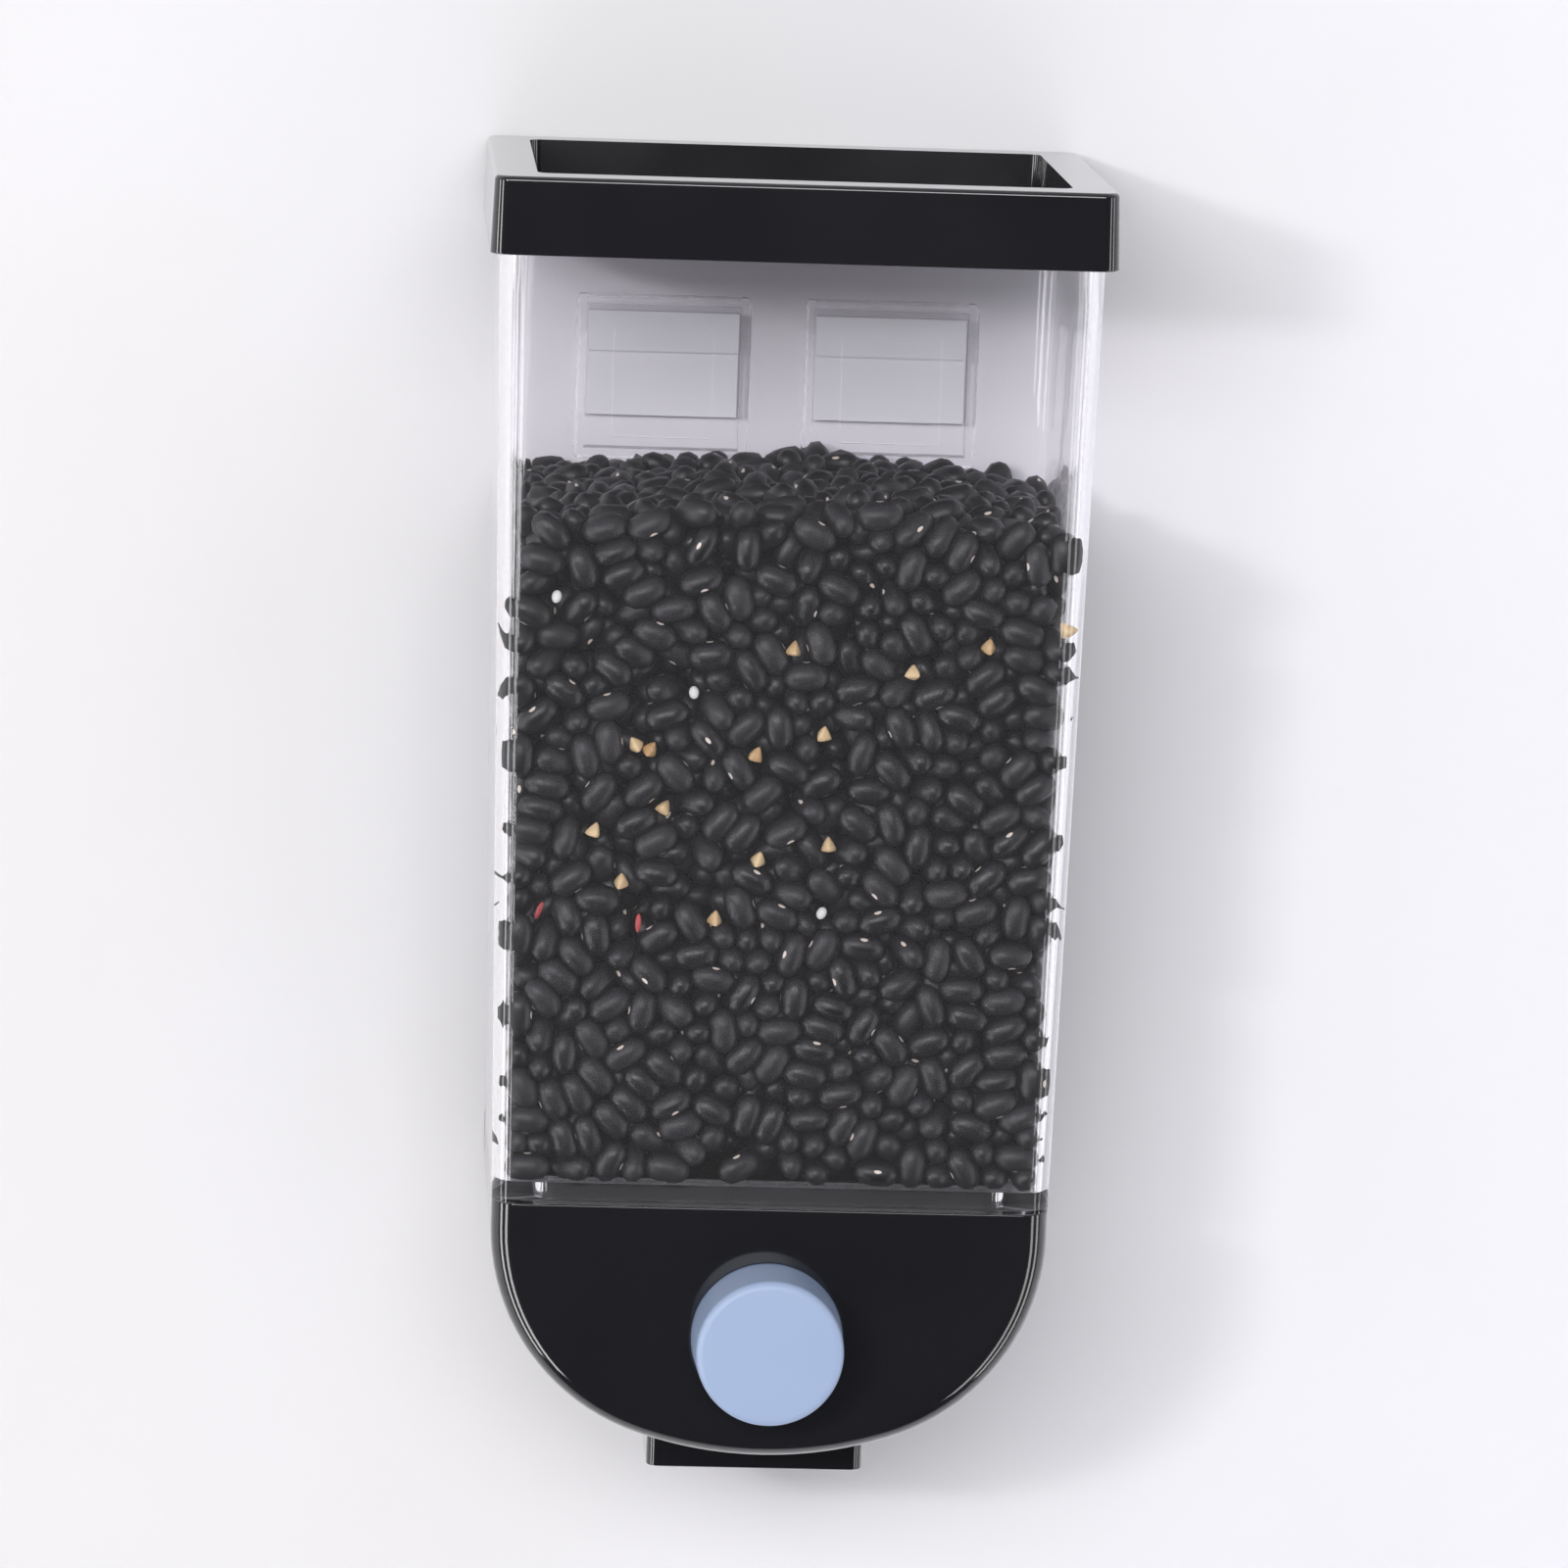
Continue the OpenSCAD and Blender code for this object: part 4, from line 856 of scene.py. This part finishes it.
bean_skin, bean_nodes, bean_links, bean_shader, _ = new_material("bean_skin")
tone_node = bean_nodes.new("ShaderNodeAttribute")
tone_node.attribute_name = "seed_tone"
place_node = bean_nodes.new("ShaderNodeAttribute")
place_node.attribute_name = "seed_place"
bean_colour = ramp(bean_nodes, bean_links, tone_node.outputs["Fac"],
                   [(0.0, (0.006, 0.006, 0.008)), (0.6, (0.010, 0.010, 0.013)), (1.0, (0.018, 0.016, 0.019))])
# The bean's eye: a small pale oval in the middle of its hollow side.
eye_place = bean_nodes.new("ShaderNodeMapping")
eye_place.inputs["Location"].default_value = (0, 1.0, 0)
eye_place.inputs["Scale"].default_value = (2.0, 1, 2.4)
eye_reach = bean_nodes.new("ShaderNodeVectorMath")
eye_reach.operation = "LENGTH"
bean_links.new(place_node.outputs["Vector"], eye_place.inputs["Vector"])
bean_links.new(eye_place.outputs["Vector"], eye_reach.inputs[0])
eye_mask = ramp(bean_nodes, bean_links, eye_reach.outputs["Value"], [(0.3, (1, 1, 1)), (0.37, (0, 0, 0))])
bean_mix = bean_nodes.new("ShaderNodeMix")
bean_mix.data_type = "RGBA"
bean_mix.inputs["B"].default_value = (0.75, 0.66, 0.58, 1)
bean_links.new(eye_mask, bean_mix.inputs["Factor"])
bean_links.new(bean_colour, bean_mix.inputs["A"])
bean_links.new(bean_mix.outputs["Result"], bean_shader.inputs["Base Color"])
bean_dull = spread(bean_nodes, bean_links, tone_node.outputs["Fac"], 0.38, 0.5)
bean_links.new(bean_dull, bean_shader.inputs["Roughness"])
wrinkle_lumps, wrinkle_depth = 400, 0.15 * MM
wrinkles = object_noise(bean_nodes, bean_links, wrinkle_lumps)
bean_links.new(bump(bean_nodes, bean_links, wrinkles, wrinkle_depth), bean_shader.inputs["Normal"])

depth_marks = np.quantile(centres[:, 1], (0, 1 / 3, 2 / 3, 1))
depth_marks[-1] += MM
for name, near, far in zip(("beans_front", "beans_middle", "beans_back"), depth_marks, depth_marks[1:]):
    here = (centres[:, 1] >= near) & (centres[:, 1] < far)
    beans = copies(name, seed_points, seed_faces, seed_place, centres[here], turns[here], tones[here])
    beans.data.materials.append(bean_skin)
    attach(beans, "bin")


# ---- Kernels and bits among the beans ----
# A few hulled buckwheat kernels, white grains and red flecks that lie against the clear front. Each kind
# is modelled once, and every copy is turned its own way.
grain_lean, grain_sway = 0.35, 0.3


def grain_piece(name, seed, pixels, depth, material):
    """Copies of a grain at photograph pixels, each turned its own way."""
    points = np.array([v.co for v in seed.data.vertices])
    faces = [list(p.vertices) for p in seed.data.polygons]
    places = np.array([behind_front(x, y, depth) for x, y in pixels])
    first = chance.normal(size=(len(pixels), 3)) * grain_lean + (0, 0, 1)
    first /= np.linalg.norm(first, axis=1)[:, None]
    second = np.cross(first, chance.normal(size=(len(pixels), 3)) * grain_sway + (0, 1, 0))
    second /= np.linalg.norm(second, axis=1)[:, None]
    turns = np.stack([second, np.cross(first, second), first], axis=2)
    tones = chance.uniform(size=len(pixels))
    made = copies(name, points, faces, points / np.abs(points).max(0), places, turns, tones)
    made.data.materials.append(material)
    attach(made, "bin")
    bpy.data.objects.remove(seed)


spot_lumps, spot_depth, spot_dulling = 900, 0.1 * MM, 0.2


def grain_material(name, dark, light, smoothest):
    """Dull seed coat between two tones, by grain and over its surface."""
    material, nodes, links, shader, _ = new_material(name)
    tone = nodes.new("ShaderNodeAttribute")
    tone.attribute_name = "seed_tone"
    spots = object_noise(nodes, links, spot_lumps)
    both = nodes.new("ShaderNodeMath")
    both.operation = "MULTIPLY_ADD"
    both.inputs[1].default_value = 0.5
    links.new(spots, both.inputs[0])
    links.new(spread(nodes, links, tone.outputs["Fac"], 0.0, 0.5), both.inputs[2])
    colour = ramp(nodes, links, both.outputs["Value"], [(0.2, dark), (0.7, light)])
    links.new(colour, shader.inputs["Base Color"])
    links.new(spread(nodes, links, spots, smoothest, smoothest + spot_dulling), shader.inputs["Roughness"])
    links.new(bump(nodes, links, spots, spot_depth), shader.inputs["Normal"])
    return material


kernel_height, kernel_radius, kernel_edge = 4.6 * MM, 3.0 * MM, 0.6 * MM
kernel_depth, white_depth, red_depth = 1.9 * MM, 1.1 * MM, 0.9 * MM
kernel = start_piece("kernel_seed")
bpy.ops.mesh.primitive_cone_add(vertices=3, radius1=kernel_radius, depth=kernel_height)
round_edges(kernel, kernel_edge, 1, lambda middle, run: True)
bpy.ops.object.mode_set(mode="OBJECT")
modify(kernel, "SUBSURF", levels=1)
kernel_coat = grain_material("kernel_coat", (0.52, 0.30, 0.12), (0.80, 0.60, 0.34), 0.5)
grain_piece("buckwheat_kernels", kernel, kernel_pixels, kernel_depth, kernel_coat)

white_grain = start_piece("white_seed")
bpy.ops.mesh.primitive_uv_sphere_add(segments=12, ring_count=8, radius=1.15 * MM)
bpy.ops.transform.resize(value=(0.85, 0.85, 1.1), center_override=(0, 0, 0))
bpy.ops.object.mode_set(mode="OBJECT")
white_coat = grain_material("white_coat", (0.70, 0.70, 0.66), (0.86, 0.86, 0.84), 0.4)
grain_piece("white_grains", white_grain, white_pixels, white_depth, white_coat)

red_fleck = start_piece("red_seed")
bpy.ops.mesh.primitive_uv_sphere_add(segments=12, ring_count=8, radius=1.2 * MM)
bpy.ops.transform.resize(value=(0.5, 0.6, 1.6), center_override=(0, 0, 0))
bpy.ops.object.mode_set(mode="OBJECT")
red_coat = grain_material("red_coat", (0.25, 0.02, 0.03), (0.50, 0.06, 0.06), 0.4)
grain_piece("red_flecks", red_fleck, red_pixels, red_depth, red_coat)


# ---- Lid ----
# Glossy black moulded cap with a deep recess in its top. Its skirt goes over the hopper's rim, and the
# plug under the recess goes down inside the rim, with a silicone seal round it.
lid_low, lid_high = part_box("lid")
lid_top, lid_foot = lid_high.z, lid_low.z
draft = 0.5 * MM
roof_thick, floor_thick = 2.8 * MM, 1.6 * MM
bead_height, bead_out = 1.5 * MM, 0.7 * MM
recess_depth, recess_draft = 11.5 * MM, 0.8 * MM
foot_round, top_round = 1.3 * MM, 0.9 * MM
top_edge = (lid_high.x - draft, lid_low.y + draft, lid_high.y - draft, 3 * MM)
foot_edge = (lid_high.x, lid_low.y, lid_high.y, 3.5 * MM)
skirt_inside = (57.5 * MM, -92.7 * MM, -1.8 * MM, 7.5 * MM)
plug_outside = (52.4 * MM, -88.3 * MM, -7.3 * MM, 4.1 * MM)
plug_bead = drawn_in(plug_outside, -bead_out)
recess_mouth = (50.8 * MM, -86.7 * MM, -8.9 * MM, 2.5 * MM)
recess_foot = drawn_in(recess_mouth, recess_draft)
recess_floor = lid_top - recess_depth
plug_foot = recess_floor - floor_thick
bead_top = plug_foot + bead_height
roof = lid_top - roof_thick
lid = loft("lid_cap", [
    (plug_foot, *plug_bead), (bead_top, *plug_bead), (bead_top, *plug_outside), (roof, *plug_outside),
    (roof, *skirt_inside), (lid_foot, *skirt_inside), (lid_foot, *foot_edge), (lid_top, *top_edge),
    (lid_top, *recess_mouth), (recess_floor, *recess_foot)])
bpy.context.view_layer.objects.active = lid
bpy.ops.object.mode_set(mode="EDIT")


def on_ring(middle, ring, level):
    """True for an edge that runs along a ring at a level."""
    half, front, back, corner = ring
    close = 0.3 * MM
    along_side = abs(abs(middle.x) - half) < close
    along_front = abs(middle.y - front) < close or abs(middle.y - back) < close
    in_corner = abs(middle.x) > half - corner - close and (
        middle.y < front + corner + close or middle.y > back - corner - close)
    return abs(middle.z - level) < nearly and (along_side or along_front or in_corner)


round_edges(lid, foot_round, 5, lambda middle, run: on_ring(middle, foot_edge, lid_foot))
round_edges(lid, top_round, 5, lambda middle, run: on_ring(middle, top_edge, lid_top))
bpy.ops.object.mode_set(mode="OBJECT")
finish_piece(lid, black_gloss, "lid", ["lid"], edge=0.35 * MM, edge_steps=3)
finish_node("lid_seal", silicone)


# ---- Light ----
# As in a pale room: a small lamp at the upper left that draws the shadows, a wide one above the camera,
# and tall lamps at both sides that only gleam in gloss and clear plastic. The room's own brightness goes
# by the kind of ray: even as light, dark towards the viewer in gloss, and pale through clear plastic.
def lamp(name, place, aim, size, power):
    """A rectangular area lamp that faces a point."""
    data = bpy.data.lights.new(name, "AREA")
    data.shape = "RECTANGLE"
    data.size, data.size_y = size
    data.energy = power
    made = bpy.data.objects.new(name, data)
    made.location = place
    made.rotation_euler = (Vector(aim) - Vector(place)).to_track_quat("-Z", "Y").to_euler()
    bpy.context.scene.collection.objects.link(made)
    return made


bin_middle, gleam_aim = (0, 0, -0.07), (0, 0, -0.15)
gleam_level, gleam_size = -0.6, (0.25, 2.2)
lamp("key_lamp", (-1.0, -1.9, 0.40), bin_middle, (0.30, 0.12), 7.5)
lamp("fill_lamp", (-0.4, -2.4, 0.66), bin_middle, (2.0, 0.7), 32.5)
for side, power in ((-1, 12), (1, 7)):
    for x, y in ((1.25, -0.95), (1.6, -0.4)):
        gleam = lamp("gleam_lamp", (side * x, y, gleam_level), gleam_aim, gleam_size, power)
        gleam.visible_diffuse = False

world = bpy.data.worlds.new("room")
bpy.context.scene.world = world
world.use_nodes = True
world_nodes, world_links = world.node_tree.nodes, world.node_tree.links
world_ray = world_nodes.new("ShaderNodeLightPath")
world_place = world_nodes.new("ShaderNodeTexCoord")
world_facing = world_nodes.new("ShaderNodeVectorMath")
world_facing.operation = "DOT_PRODUCT"
viewer_side = (0, -0.8, -0.6)
world_facing.inputs[1].default_value = viewer_side
world_links.new(world_place.outputs["Generated"], world_facing.inputs[0])
in_gloss = ramp(world_nodes, world_links, world_facing.outputs["Value"],
                [(0.0, (0.6, 0.6, 0.62)), (0.15, (0.2, 0.2, 0.21)), (0.7, (0.04, 0.04, 0.045))])


def by_ray(ray, other, seen):
    """One colour for a kind of ray and another for the rest."""
    mix = world_nodes.new("ShaderNodeMix")
    mix.data_type = "RGBA"
    world_links.new(world_ray.outputs[ray], mix.inputs["Factor"])
    for socket, colour in (("A", other), ("B", seen)):
        if isinstance(colour, tuple):
            mix.inputs[socket].default_value = colour
        else:
            world_links.new(colour, mix.inputs[socket])
    return mix.outputs["Result"]


even_light, pale_room = (0.42, 0.42, 0.435, 1), (0.95, 0.95, 0.98, 1)
room_light = by_ray("Is Glossy Ray", even_light, in_gloss)
room_light = by_ray("Is Transmission Ray", room_light, pale_room)
room_light = by_ray("Is Camera Ray", room_light, pale_room)
world_links.new(room_light, world_nodes["Background"].inputs["Color"])
